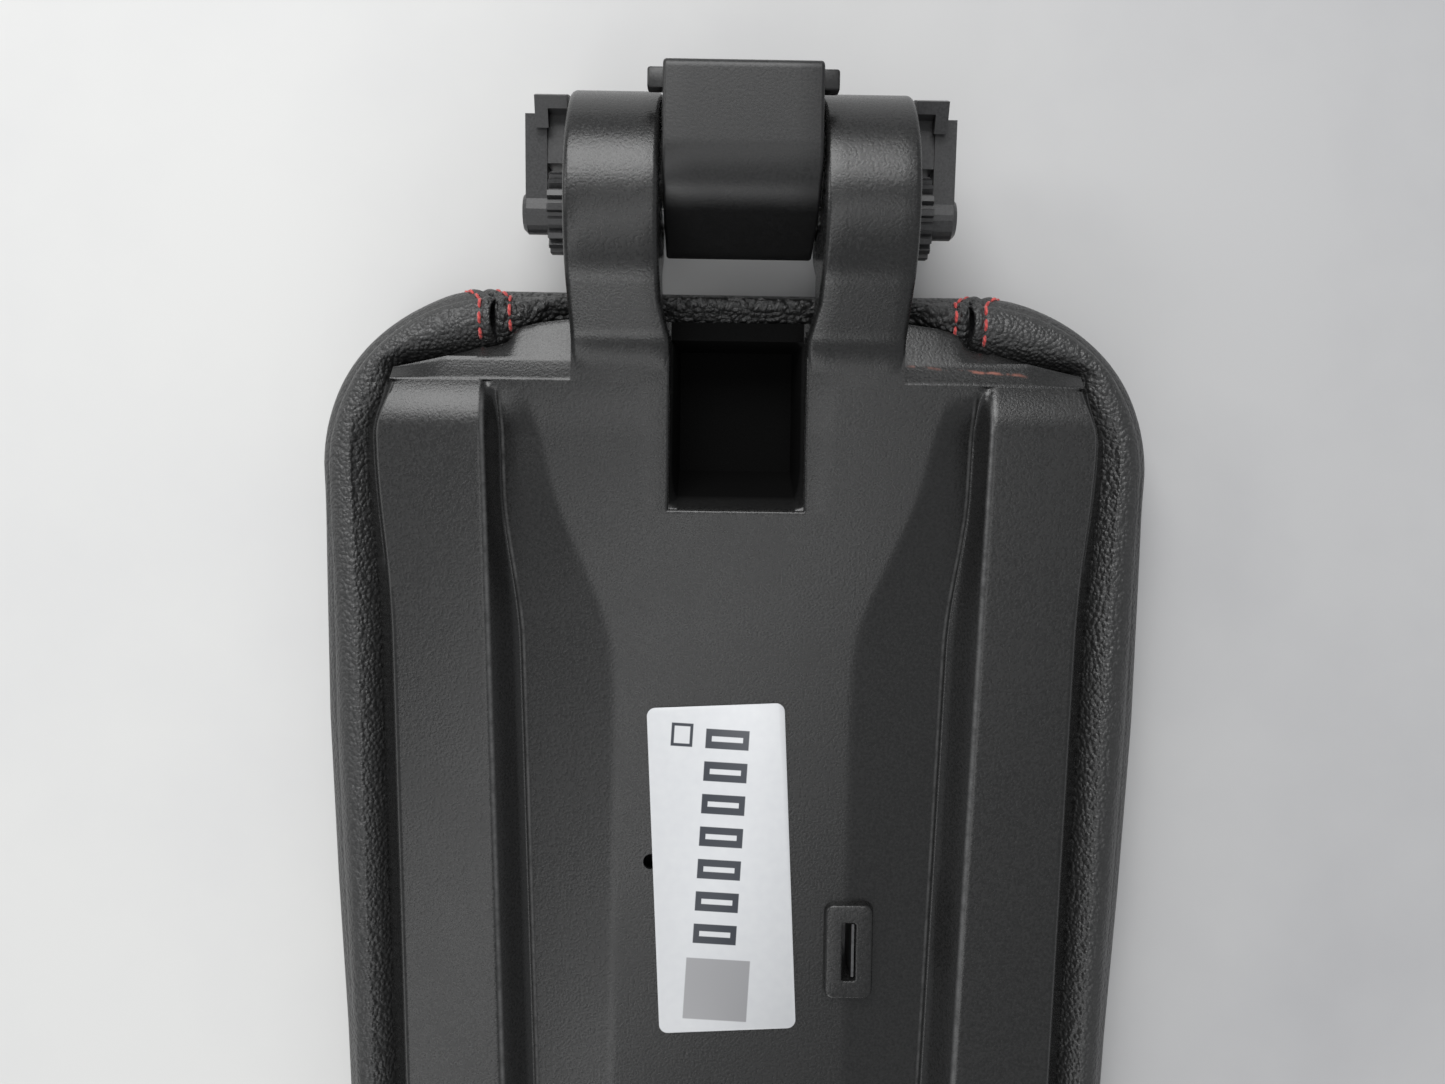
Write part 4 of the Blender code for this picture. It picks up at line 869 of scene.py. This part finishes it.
def station_columns(y):
    """Half a row of x positions that follow the features at y, close together where the
    surface turns."""
    lip = lip_half(y)
    edge = plateau_half(y)
    outer = plateau_outer(y)
    shoulder = min(shoulder_half(y), lip - SHOULDER_ROOM)
    half = throat_half(y)
    well = [0, 4.5 * MM, 9 * MM, 12.4 * MM, WELL_HALF_FLOOR - 0.3 * MM, WELL_HALF_FLOOR, half - 0.02 * MM]
    rim = [half + step * MM for step in (0.0, 0.08, 0.22, 0.42, 0.7)]
    late = smooth_step(y, STEP_Y - 0.75 * MM, STEP_Y - 0.05 * MM)
    slope = [rim[-1] + (shoulder - 2.2 * MM - rim[-1]) * t for t in (0.25, 0.5, 0.75, 1.0)]
    crease = [shoulder + step * MM for step in (-1.4, -0.8, -0.3, 0.3, 0.8, 1.4, 2.2)]
    away = np.linspace(shoulder + 2.2 * MM, lip - 3.0 * MM, 9)[1:].tolist()
    near_lip = [lip + step * MM for step in (
        -2.2, -1.7, -1.3, -1.0, -0.7, -0.45, -0.2, 0.05, 0.3, 0.55, 0.85, 1.2)]
    wall = np.linspace(lip + 1.2 * MM, edge - 0.9 * MM, 5)[1:].tolist()
    brow = [edge + step * MM for step in (-0.6, -0.35, -0.1, 0.15, 0.4, 0.7, 1.1, 1.7)]
    top = np.linspace(edge + 1.7 * MM, outer - 1.9 * MM, 12)[1:].tolist()
    fall = [outer + step * MM for step in (-1.3, -0.9, -0.5, -0.2, 0.1, 0.4, 0.7, 1.1, 1.7, 2.3)]
    end = [max(liner_half(y) - 0.3 * MM, outer + 2.6 * MM)]
    row = np.array(well + rim + slope + crease + away + near_lip + wall + brow + top + fall + end)
    plain = row.copy()
    first = len(well) + len(rim)
    ledge = ARM_OUTER_X + np.array([
        -4, -2, -0.8, -0.25, -0.06, 0.0, 0.02, 0.1, 0.3, 0.8, 2.0, 4.0]) * MM
    rest = np.linspace(ledge[-1], liner_half(y), len(row) - first - len(ledge) + 1)[1:]
    plain[first:] = np.concatenate([ledge, rest])
    return row * (1 - late) + plain * late


def well_height(x, y, z):
    """The plate's height with the well let in: three sloping walls down to its floor, a rim
    rounded on a small quarter circle, and past the well the low sill between the arms."""
    x = np.abs(x)
    half = throat_half(y)
    deep = PLATFORM_Z - WELL_FLOOR_Z
    side = WELL_FLOOR_Z + deep * (x - WELL_HALF_FLOOR) / (WELL_HALF - WELL_HALF_FLOOR)
    front = WELL_FLOOR_Z + deep * (WELL_FLOOR_Y - y) / (WELL_FLOOR_Y - WELL_FRONT_Y)
    low = np.maximum(np.maximum(side, front), WELL_FLOOR_Z)
    low = np.where(y > WELL_REAR_Y, np.where(x < half - HAIR, WELL_SILL_Z, z), low)
    away = np.maximum(x - half, np.where(y < WELL_REAR_Y, WELL_FRONT_Y - y, 0))
    inside = (x < half - HAIR) & (y > WELL_FRONT_Y)
    edge = np.clip(ROUNDING - away, 0, ROUNDING)
    rim = z - (ROUNDING - np.sqrt(ROUNDING**2 - edge**2))
    return np.where(inside, np.minimum(low, z - ROUNDING), rim)


def plate_grid():
    """The plate: rows of sections from the front skirt to the step, then rows that run from the
    step down its chamfer and out over the flange to its curved rear edge and down again."""
    y_list = [0.05, 0.3, 0.8, 1.6, 2.8, 4.4, 6.4, 9.0, 11.6, 14.9]
    y_list = [LINER_FRONT_Y + step * MM for step in y_list]
    y_list += np.linspace(LINER_FRONT_Y + 17 * MM, 48 * MM, 62).tolist()
    y_list += np.linspace(49.5 * MM, 94 * MM, 34).tolist()
    y_list += [WELL_FRONT_Y + step * MM for step in (-1.2, -0.7, -0.45, -0.25, -0.1, 0.0, 0.02)]
    y_list += np.linspace(WELL_FRONT_Y + 0.6 * MM, WELL_FLOOR_Y - 0.5 * MM, 9).tolist()
    y_list += [WELL_FLOOR_Y, WELL_FLOOR_Y + 0.5 * MM, 107.5 * MM, 109.5 * MM, 111.5 * MM]
    y_list += np.linspace(112.4 * MM, 121.4 * MM, 14).tolist()
    y_list += [STEP_Y - step * MM for step in (2.7, 2.3, 1.9, 1.5, 1.2, 0.95, 0.75, 0.5, 0.3, 0.12)]
    rows = []
    for y in y_list:
        x = station_columns(y)
        rows.append(np.column_stack([x, np.full(len(x), y), section_height(x, y)]))
    skirt = rows[0].copy()
    skirt[:, Z] = np.minimum(skirt[:, Z], SKIRT_Z)
    skirt[:, Y] = LINER_FRONT_Y
    rows.insert(0, skirt)
    x = station_columns(STEP_Y + HAIR)
    rear = flange_rear(x)
    foot = np.minimum(STEP_FOOT_Y, rear - 0.4 * MM)
    chamfer = [(0.0, 0.0), (0.05, 0.005), (0.1, 0.04), (0.2, 0.16), (0.4, 0.4),
               (0.6, 0.62), (0.8, 0.84), (0.9, 0.94), (1.0, 0.99)]
    for run, fall in chamfer:
        y = STEP_Y + run * (foot - STEP_Y)
        z = np.where(x < ARM_OUTER_X + HAIR, STEP_Z, STEP_Z - fall * (STEP_Z - FLANGE_Z))
        rows.append(np.column_stack([x, y, z]))
    for run in (0.06, 0.14, 0.26, 0.4, 0.535, 0.545, 0.66, 0.8, 0.9, 0.96, 1.0):
        y = foot + run * (rear - foot)
        fall = run + 0.75 * max(run - 0.9, 0)
        z = np.where(x < ARM_OUTER_X + HAIR, STEP_Z, FLANGE_Z - fall * (FLANGE_Z - FLANGE_END_Z))
        rows.append(np.column_stack([x, y, z]))
    half = np.array(rows)
    well = half[..., X] < ARM_OUTER_X
    half[..., Z] = np.where(well, well_height(half[..., X], half[..., Y], half[..., Z]), half[..., Z])
    end = half[-1:].copy()
    end[..., Z] = HEM_Z
    half = np.concatenate([half, end])
    left = half[:, :0:-1] * np.array([-1.0, 1.0, 1.0])
    whole = np.concatenate([left, half], axis=1)
    hem_left = whole[:, :1].copy()
    hem_right = whole[:, -1:].copy()
    y = whole[:, 0, Y]
    front = LINER_FRONT_Y + LINER_CORNER
    spread = APRON * smooth_step(-y, -122 * MM, -RISE_START_Y)
    spread = spread * smooth_step(y, front, front + LINER_CORNER)
    for side, hem in ((-1, hem_left), (1, hem_right)):
        hem[..., Z] = np.minimum(hem[..., Z], SKIRT_Z - 0.4 * spread[:, None])
        hem[..., X] += side * spread[:, None]
    return np.concatenate([hem_left, whole, hem_right], axis=1)


def thickened(piece, wall):
    """The piece with a wall that grows inwards from its surface."""
    step = piece.modifiers.new("wall", "SOLIDIFY")
    step.thickness = wall
    step.offset = -1.0
    return settled(piece)


def joined(name, parts):
    """Several shells as one piece."""
    with bpy.context.temp_override(active_object=parts[0], selected_editable_objects=parts):
        bpy.ops.object.join()
    parts[0].name = name
    return parts[0]


def arc(radius, start, end, count):
    """Points at a radius from the hinge axis, as y and z, between two angles."""
    turn = np.linspace(start, end, count)
    return np.column_stack([AXIS_Y + radius * np.cos(turn), AXIS_Z + radius * np.sin(turn)])


def channel(crest, foot, inner, outer, corner):
    """A channel with a closed back: at each station of the crest it goes up one cheek from the
    foot, round a corner, across the back, round the other corner and down to the foot. inner
    gives one cheek's x from y, and outer is the other's. The corner shrinks where crest and
    foot draw near."""
    corner = np.minimum(corner, 0.45 * np.linalg.norm(crest - foot, axis=1))
    step = np.gradient(crest, axis=0)
    step /= np.linalg.norm(step, axis=1)[:, None]
    inward = np.column_stack([step[:, 1], -step[:, 0]])
    quarter = np.linspace(0, np.pi / 2, 6)
    cheek = np.array([1.0, 0.75, 0.5, 0.25])[:, None, None]
    start = crest + inward * corner[:, None]
    rise = foot * cheek + start * (1 - cheek)
    bend = crest + inward * corner[:, None] * (1 - np.sin(quarter))[:, None, None]
    back = np.repeat(crest[None], 5, axis=0)
    line = np.concatenate([rise, bend, back, bend[::-1], rise[::-1]])
    low = inner(line[..., 0])
    high = np.full(low.shape, outer)
    offset = corner * (1 - np.cos(quarter))[:, None]
    across = np.zeros(line.shape[:2])
    a, b, c, d = np.cumsum([len(rise), len(bend), len(back), len(bend)])
    share = np.linspace(0, 1, len(back) + 2)[1:-1, None]
    across[:a] = low[:a]
    across[a:b] = low[a:b] + offset
    across[b:c] = (low[b:c] + corner) * (1 - share) + (high[b:c] - corner) * share
    across[c:d] = high[c:d] - offset[::-1]
    across[d:] = high[d:]
    return np.concatenate([across[..., None], line], axis=-1)


ARM_RADIUS = 26.9 * MM
ARM_CREASE_Y = 132.6 * MM
ARM_END = np.radians(-38.0)
ARM_FILLET = 5.0 * MM
ARM_CORNER = 1.3 * MM
ARM_WALL = 2.5 * MM
# The lower edge of a cheek: how far along the arm, then y and z in mm from the hinge axis.
ARM_FOOT = np.array([
    (0.0, -36.5, 3.2), (0.06, -33, 2.6), (0.14, -25.0, 0.8), (0.17, -24.4, 3.7),
    (0.27, -17.6, 3.7), (0.36, -13.8, 2.4), (0.46, -12.2, -2.0), (0.56, -9.0, -8.0),
    (0.7, -1.0, -11.5), (0.85, 8.0, -13.0), (1.0, 17.0, -16.5),
])


def arm_lines():
    """The arm from the side. Its crest leaves the platform in a fillet, climbs straight and
    turns over the axle; its foot is the lower edge of the cheeks."""
    crease = np.array([ARM_CREASE_Y, STEP_Z])
    to_crease = crease - np.array([AXIS_Y, AXIS_Z])
    tangent = np.arctan2(to_crease[1], to_crease[0]) - np.arccos(ARM_RADIUS / np.hypot(*to_crease))
    over = arc(ARM_RADIUS, tangent, ARM_END, 60)
    climb = (over[0] - crease) / np.linalg.norm(over[0] - crease)
    share = np.linspace(0, 1, 14)[:, None]
    level = crease - np.array([ARM_FILLET, 0.0])
    fillet = (1 - share) ** 2 * level + 2 * share * (1 - share) * crease
    fillet = fillet + share**2 * (crease + climb * ARM_FILLET)
    root = np.array([(0.5, -0.35), (1.6, -0.02)]) * MM + np.array([STEP_Y, STEP_Z])
    crest = np.concatenate([root, fillet, over[1:]])
    crest = resampled(crest, np.linspace(0, 1, 110))
    at = np.linspace(0, 1, len(crest))
    low = ARM_FOOT[:, 1:] * MM + np.array([AXIS_Y, AXIS_Z])
    foot = np.column_stack([np.interp(at, ARM_FOOT[:, 0], line) for line in low.T])
    return crest, foot


liner = thickened(grid_object("liner_plate", plate_grid()), LINER_WALL)
crest, foot = arm_lines()
arms = []
for side in (-1, 1):
    shape = channel(crest, foot, throat_half, ARM_OUTER_X, ARM_CORNER)
    shape[..., X] *= side
    if side > 0:
        shape = shape[:, ::-1]
    arms.append(thickened(grid_object(f"arm_shell_{side}", shape), ARM_WALL))


# The boss on the liner is a short stub, moulded with it, whose slot passes right through.

BOSS_CENTRE = np.array((27.5, -5.8)) * MM
BOSS_SIZE = np.array((11.0, 22.0)) * MM
BOSS_TOP_Z = 38.2 * MM
SLOT_SIZE = np.array((3.2, 13.6)) * MM
SLOT_CORNER = 0.6
CUT_LOW_Z = 20 * MM
CUT_HIGH_Z = 60 * MM
HOLE_CENTRE = np.array((-18.5, 14.2)) * MM
HOLE_RADIUS = 1.8 * MM


def rounded_box_ring(centre, size, corner, height, turn=0.0, count=9):
    """A level rectangle with round corners: four quarter circles joined in order."""
    quarter = np.linspace(0, np.pi / 2, count)
    angles = (quarter[None] + np.arange(4)[:, None] * np.pi / 2).ravel()
    signs = np.repeat(np.array([(1, 1), (-1, 1), (-1, -1), (1, -1)]), count, axis=0)
    flat = signs * (np.asarray(size) / 2 - corner)
    flat = flat + corner * np.column_stack([np.cos(angles), np.sin(angles)])
    spin = np.array([[np.cos(turn), np.sin(turn)], [-np.sin(turn), np.cos(turn)]])
    flat = flat @ spin + centre
    return np.column_stack([flat, np.full(len(flat), height)])


def boss_ring(size, corner, height):
    """One level of the boss or of its slot, its corner in mm."""
    return rounded_box_ring(BOSS_CENTRE, size, corner * MM, height)


boss_rows = [
    boss_ring(BOSS_SIZE + 2.4 * MM, 3.2, 33.2 * MM),
    boss_ring(BOSS_SIZE + 0.9 * MM, 2.6, 34.6 * MM),
]
for step in np.linspace(0, np.pi / 2, 6):
    level = BOSS_TOP_Z - 0.7 * MM * (1 - np.sin(step))
    boss_rows.append(boss_ring(BOSS_SIZE - 1.4 * MM * (1 - np.cos(step)), 2.2 - 0.4 * step, level))
boss_rows.append(boss_ring(SLOT_SIZE + 0.8 * MM, 0.9, BOSS_TOP_Z))
for step in np.linspace(0, np.pi / 2, 4):
    level = BOSS_TOP_Z - 0.25 * MM * (1 - np.cos(step))
    boss_rows.append(boss_ring(SLOT_SIZE + 0.5 * MM * (1 - np.sin(step)), SLOT_CORNER, level))
boss_rows.append(boss_ring(SLOT_SIZE, SLOT_CORNER, 30.0 * MM))
boss = grid_object("slot_boss", np.array(boss_rows), close_across=True)


def hole_ring(height):
    """The small round hole at the label's edge."""
    turn = np.linspace(0, 2 * np.pi, 33)[:-1]
    flat = HOLE_CENTRE + HOLE_RADIUS * np.column_stack([np.cos(turn), np.sin(turn)])
    return np.column_stack([flat, np.full(len(flat), height)])


heights = (CUT_LOW_Z, CUT_HIGH_Z)
cut_through(liner, [boss_ring(SLOT_SIZE + 0.02 * MM, SLOT_CORNER, height) for height in heights])
cut_through(liner, [hole_ring(height) for height in heights])

STREAK_COLOUR = (0.24, 0.09, 0.065)
GATE_MARK = (0.4 * MM, 119.5 * MM, WELL_FLOOR_Z)
SHARP_ANGLE = np.radians(40)


def moulded(name, colour, roughness, grain, depth):
    """Moulded plastic: a fine even grain from spark erosion, soft clouds in its gloss, and a
    few pale specks of dust."""
    made, tree, shader = blank_material(name, colour, roughness)
    place, _ = place_of(tree)
    fine = noise(tree, place, 1 / grain, 3.0, Roughness=0.6)
    bumped(tree, shader, fine, depth)
    clouds = product(tree, noise(tree, place, 35.0, 5.0, Roughness=0.6), 0.5)
    mottle = sums(tree, "MULTIPLY_ADD", fine, 0.8, clouds)
    gloss = mapped(tree, mottle, 0.45, 0.85, roughness - 0.05, roughness + 0.06)
    dust = node(tree, "ShaderNodeTexVoronoi", Vector=place, Scale=130.0)
    chosen = node(tree, "ShaderNodeSeparateColor", Color=dust.outputs["Color"]).outputs[0]
    few = sums(tree, "GREATER_THAN", chosen, 0.93)
    speck = product(tree, mapped(tree, dust.outputs["Distance"], 0.05, 0.03), few)
    dark, light = (tuple(value * share for value in colour) for share in (0.55, 1.35))
    base = tinted(tree, mapped(tree, fine, 0.3, 0.7), dark, light)
    coat(tree, shader, Base_Color=base, Roughness=gloss)
    return made, tree, shader, base, speck, gloss


def finished(piece, finish):
    """The piece in one material, smooth but for its sharp edges."""
    piece.data.materials.clear()
    piece.data.materials.append(finish)
    piece.data.shade_smooth()
    piece.data.set_sharp_from_angle(angle=SHARP_ANGLE)


liner_finish, tree, shader, base, speck, gloss = moulded(
    "charcoal_grained_plastic", (0.0125, 0.0125, 0.0125), 0.27, 0.6 * MM, 0.07 * MM)
place, parts = place_of(tree)

# A thin orange smear wanders along the step at the right, broken where it has rubbed off.
wandering = sums(tree, "MULTIPLY_ADD", noise(tree, place, 260.0, 3.0), 1.2 * MM, parts["Y"])
wandering = sums(tree, "MULTIPLY_ADD", parts["X"], 0.07, wandering)
breaks_in_smear_and_highlight = noise(tree, place, 330.0, 4.0)
streak = product(
    tree,
    band(tree, parts["X"], 40 * MM, 65 * MM, 1.5 * MM),
    band(tree, wandering, 132.3 * MM, 132.8 * MM, 0.2 * MM),
    mapped(tree, breaks_in_smear_and_highlight, 0.44, 0.6),
)
base = tinted(tree, streak, base, STREAK_COLOUR)

# The gate has left a faint ring on the well's floor.
from_gate = sums(tree, "DISTANCE", place, GATE_MARK, kind="ShaderNodeVectorMath", result="Value")
ring_mark = band(tree, from_gate, 1.5 * MM, 2.0 * MM, 0.15 * MM)
base = tinted(tree, ring_mark, base, (0.02, 0.02, 0.02))

# Painted highlight: the plateau's inner edge and the lip are painted pale, in patches, for the highlights
# that light draws along their rounded edges.
edge = sums(tree, "MULTIPLY_ADD", parts["Y"], PLATEAU_TAPER, PLATEAU_HALF)
from_edge = sums(tree, "SUBTRACT", sums(tree, "ABSOLUTE", parts["X"]), edge)
swing = mapped(tree, parts["Y"], LIP_NEAR_Y, LIP_AWAY_Y, LIP_NEAR, LIP_NEAR + LIP_SWING,
               interpolation_type="SMOOTHSTEP")
from_lip = sums(tree, "ADD", from_edge, swing)
painted_edge_highlight = product(
    tree,
    sums(tree, "MAXIMUM", band(tree, from_edge, -0.45 * MM, 0.25 * MM, 0.25 * MM),
         band(tree, from_lip, -0.35 * MM, 0.2 * MM, 0.25 * MM)),
    band(tree, parts["Y"], -150 * MM, 121 * MM, 2 * MM),
    mapped(tree, breaks_in_smear_and_highlight, 0.3, 0.6, 0.4),
)
base = tinted(tree, painted_edge_highlight, base, (0.085, 0.085, 0.085))
base = tinted(tree, speck, base, (0.45, 0.44, 0.42))

# Painted shade: the well's inside is painted darker and made duller, as no light reaches its walls.
painted_well_shade = product(
    tree,
    mapped(tree, parts["Z"], PLATFORM_Z - 1 * MM, WELL_SILL_Z),
    band(tree, parts["X"], -WELL_HALF, WELL_HALF, 0.1 * MM),
)
coat(
    tree, shader,
    Base_Color=tinted(tree, painted_well_shade, base, (0.003, 0.003, 0.003)),
    Roughness=sums(tree, "ADD", gloss, mapped(tree, painted_well_shade, 0.0, 1.0, 0.0, 0.55)),
    Specular_IOR_Level=mapped(tree, painted_well_shade, 0.0, 1.0, 0.5, 0.06),
)

liner = joined("moulded_liner", [liner, *arms, boss])
finished(liner, liner_finish)
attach(liner, "lid")
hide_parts("inner_panel")


# The label. A white coated paper sticker, stuck on by hand a little askew. Its print is left as
# plain fields of grey.

LABEL_CENTRE = np.array((-2.1, 12.8)) * MM
LABEL_SIZE = np.array((31.75, 76.2)) * MM
LABEL_TURN = np.radians(2.9)
LABEL_Z = PLATFORM_Z + 0.3 * MM
MARK_PITCH = 7.6 * MM
PRINT_SOFT = 0.08 * MM


def label_ring(inset, height):
    """The label's outline drawn in by inset, both in mm."""
    size = LABEL_SIZE - 2 * inset * MM
    return rounded_box_ring(
        LABEL_CENTRE, size, (2.0 - inset) * MM, LABEL_Z + height * MM, LABEL_TURN)


label_rows = np.array([label_ring(0.0, 0.0), label_ring(0.0, 0.14), label_ring(0.05, 0.2)])
label_piece = grid_object("paper_label", label_rows, close_across=True, caps=("first", "last"))
label_finish, tree, shader = blank_material("coated_paper", (0.84, 0.85, 0.87), 0.42)
place, _ = place_of(tree)
askew = node(tree, "ShaderNodeMapping", vector_type="TEXTURE", Vector=place)
askew.inputs["Location"].default_value = (*LABEL_CENTRE, 0.0)
askew.inputs["Rotation"].default_value = (0.0, 0.0, -LABEL_TURN)
parts = node(tree, "ShaderNodeSeparateXYZ", Vector=askew.outputs[0]).outputs


def printed(left, right, low, high):
    """1 inside a rectangle of the label, its sides in mm from the label's middle."""
    across = band(tree, parts["X"], left * MM, right * MM, PRINT_SOFT)
    return product(tree, across, band(tree, parts["Y"], low * MM, high * MM, PRINT_SOFT))


# A row of hollow blocks, a grey field below them and a hollow mark in one corner.
beat = product(tree, sums(tree, "ADD", parts["Y"], 80 * MM), 1 / MARK_PITCH)
beat = sums(tree, "FRACT", beat)
strip = product(tree, printed(-5.6, 4.4, -19.5, 34.0), band(tree, beat, 0.2, 0.8, 0.01))
hollow = product(tree, band(tree, parts["X"], -4.2 * MM, 3.0 * MM, 0.05 * MM),
                 band(tree, beat, 0.42, 0.58, 0.01))
strip = sums(tree, "SUBTRACT", strip, product(tree, strip, hollow))
corner_gap = printed(-12.9, -9.3, 28.7, 32.7)
corner_mark = sums(tree, "SUBTRACT", printed(-13.6, -8.6, 28.0, 33.4), corner_gap)
fibre = noise(tree, place, 500.0, 3.0)
paper = tinted(tree, fibre, (0.56, 0.57, 0.59), (0.62, 0.63, 0.64))
paper = tinted(tree, printed(-6.8, 8.0, -35.6, -21.2), paper, (0.3, 0.3, 0.31))
paper = tinted(tree, sums(tree, "MAXIMUM", strip, corner_mark), paper, (0.03, 0.035, 0.045))
coat(tree, shader, Base_Color=paper)
label_piece.data.materials.append(label_finish)
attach(label_piece, "lid")
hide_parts("label")


# The hinge block. A smooth moulded cover, open below, that hides the console's bracket and
# turns on the axle between the arms. A square lug stands out on each side near its top.

BLOCK_HALF = 17.0 * MM
BLOCK_TOP_Z = 57.0 * MM
BLOCK_REAR_Y = AXIS_Y + 27.2 * MM
BLOCK_NOSE = np.array((AXIS_Y + 10.4 * MM, BLOCK_TOP_Z - 14.0 * MM))
BLOCK_NOSE_RADIUS = 14.0 * MM
BLOCK_FRONT_LOW = np.array((AXIS_Y - 9.3 * MM, AXIS_Z - 3.7 * MM))
BLOCK_FOOT = np.array((AXIS_Y - 7.3 * MM, AXIS_Z - 12.7 * MM))
BLOCK_REAR_FOOT = np.array((BLOCK_REAR_Y, AXIS_Z - 4.7 * MM))
BLOCK_EDGE_RADIUS = 1.5 * MM
BLOCK_CORNER = 0.8 * MM
BLOCK_WALL = 2.0 * MM


def block_line():
    """The block from the side: up the sloping front, round the nose, along the flat top, round
    a small corner and down the back."""
    away = BLOCK_NOSE - BLOCK_FRONT_LOW
    bearing = np.arctan2(-away[1], -away[0])
    tangent = (bearing - np.arccos(BLOCK_NOSE_RADIUS / np.hypot(*away))) % (2 * np.pi)
    turn = np.linspace(tangent, np.pi / 2, 40)
    nose = BLOCK_NOSE + BLOCK_NOSE_RADIUS * np.column_stack([np.cos(turn), np.sin(turn)])
    turn = np.linspace(np.pi / 2, 0, 8)
    back = np.array((BLOCK_REAR_Y, BLOCK_TOP_Z)) - BLOCK_EDGE_RADIUS
    back = back + BLOCK_EDGE_RADIUS * np.column_stack([np.cos(turn), np.sin(turn)])
    line = np.concatenate([[BLOCK_FOOT, BLOCK_FRONT_LOW], nose, back, [BLOCK_REAR_FOOT]])
    return resampled(line, np.linspace(0, 1, 170))


def block_cheek(y):
    """The block's left cheek, at one x all over."""
    return np.full(np.shape(y), -BLOCK_HALF)


crest = block_line()
share = np.linspace(0, 1, len(crest))[:, None]
foot = BLOCK_FOOT * (1 - share) + BLOCK_REAR_FOOT * share
shape = channel(crest[1:-1], foot[1:-1], block_cheek, BLOCK_HALF, BLOCK_CORNER)
block = thickened(grid_object("block_shell", shape[:, ::-1]), BLOCK_WALL)

LUG = 4.4 * MM
LUG_CENTRE = np.array((AXIS_Y + 24.0 * MM, BLOCK_TOP_Z - 5.4 * MM))
# How far each ring of a lug stands out from the block's cheek, and how much smaller it is.
LUG_RINGS = ((-1.0, 0.0), (2.9, 0.0), (3.2, 0.2), (3.4, 0.6))
lugs = []
for side in (-1, 1):
    rows = []
    for reach, less in LUG_RINGS:
        size = LUG - less * MM
        ring = rounded_box_ring(LUG_CENTRE, (size, size), 0.5 * MM, 0.0, count=4)
        x = np.full(len(ring), side * (BLOCK_HALF + reach * MM))
        rows.append(np.column_stack([x, ring[:, :2]]))
    rows = np.array(rows)
    lugs.append(grid_object("lug", rows[:, ::side], close_across=True, caps=("first", "last")))
block = joined("hinge_cover", [block, *lugs])
block_finish, tree, shader, base, speck, _ = moulded(
    "smooth_block_plastic", (0.0105, 0.0105, 0.0107), 0.38, 0.6 * MM, 0.03 * MM)
coat(tree, shader, Base_Color=tinted(tree, speck, base, (0.5, 0.5, 0.48)))
finished(block, block_finish)
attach(block, "console_hinge")
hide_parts("hinge_block")


# The pieces on the axle. Toothed wheels and end stops are moulded in black acetal, bushes and
# washers in a pale slippery grade, and the axle, springs, clip and bracket are steel.

gear_finish, *_ = moulded("black_acetal", (0.028, 0.028, 0.029), 0.36, 0.5 * MM, 0.02 * MM)
tray_finish, *_ = moulded("tray_plastic", (0.07, 0.07, 0.07), 0.55, 0.4 * MM, 0.05 * MM)
bush_finish, *_ = moulded("pale_acetal", (0.52, 0.5, 0.44), 0.4, 0.4 * MM, 0.02 * MM)

steel_finish, tree, shader = blank_material("rolled_steel", (0.5, 0.5, 0.5), 0.3, 1.0)
place, _ = place_of(tree)
drawn = node(tree, "ShaderNodeMapping", Vector=place, Scale=(60.0, 1500.0, 1500.0))
lines = noise(tree, drawn.outputs[0], 1.0, 3.0)
coat(
    tree, shader,
    Base_Color=tinted(tree, lines, (0.38, 0.38, 0.39), (0.58, 0.58, 0.57)),
    Roughness=mapped(tree, lines, 0.0, 1.0, 0.22, 0.42),
)

clip_finish, tree, shader = blank_material("blackened_spring_steel", (0.1, 0.1, 0.1), 0.45, 1.0)
place, _ = place_of(tree)
mottle = noise(tree, place, 700.0, 4.0)
bumped(tree, shader, mottle, 0.03 * MM)
coat(tree, shader, Base_Color=tinted(tree, mottle, (0.05, 0.05, 0.055), (0.2, 0.2, 0.2)))

for names, finish in (
    (("toothed_wheel_left", "toothed_wheel_right", "end_stop_left", "end_stop_right"), gear_finish),
    (("carrier_tray",), tray_finish),
    (("arm_bush_left_inner", "arm_bush_left_outer"), bush_finish),
    (("arm_bush_right_inner", "arm_bush_right_outer"), bush_finish),
    (("thrust_washer_left", "thrust_washer_right"), bush_finish),
    (("torsion_spring_left", "torsion_spring_right"), steel_finish),
    (("hinge_axle", "hinge_bracket"), steel_finish),
    (("slot_clip",), clip_finish),
):
    for cad_name in names:
        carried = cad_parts[cad_name]
        carried.data.materials.clear()
        carried.data.materials.append(finish)
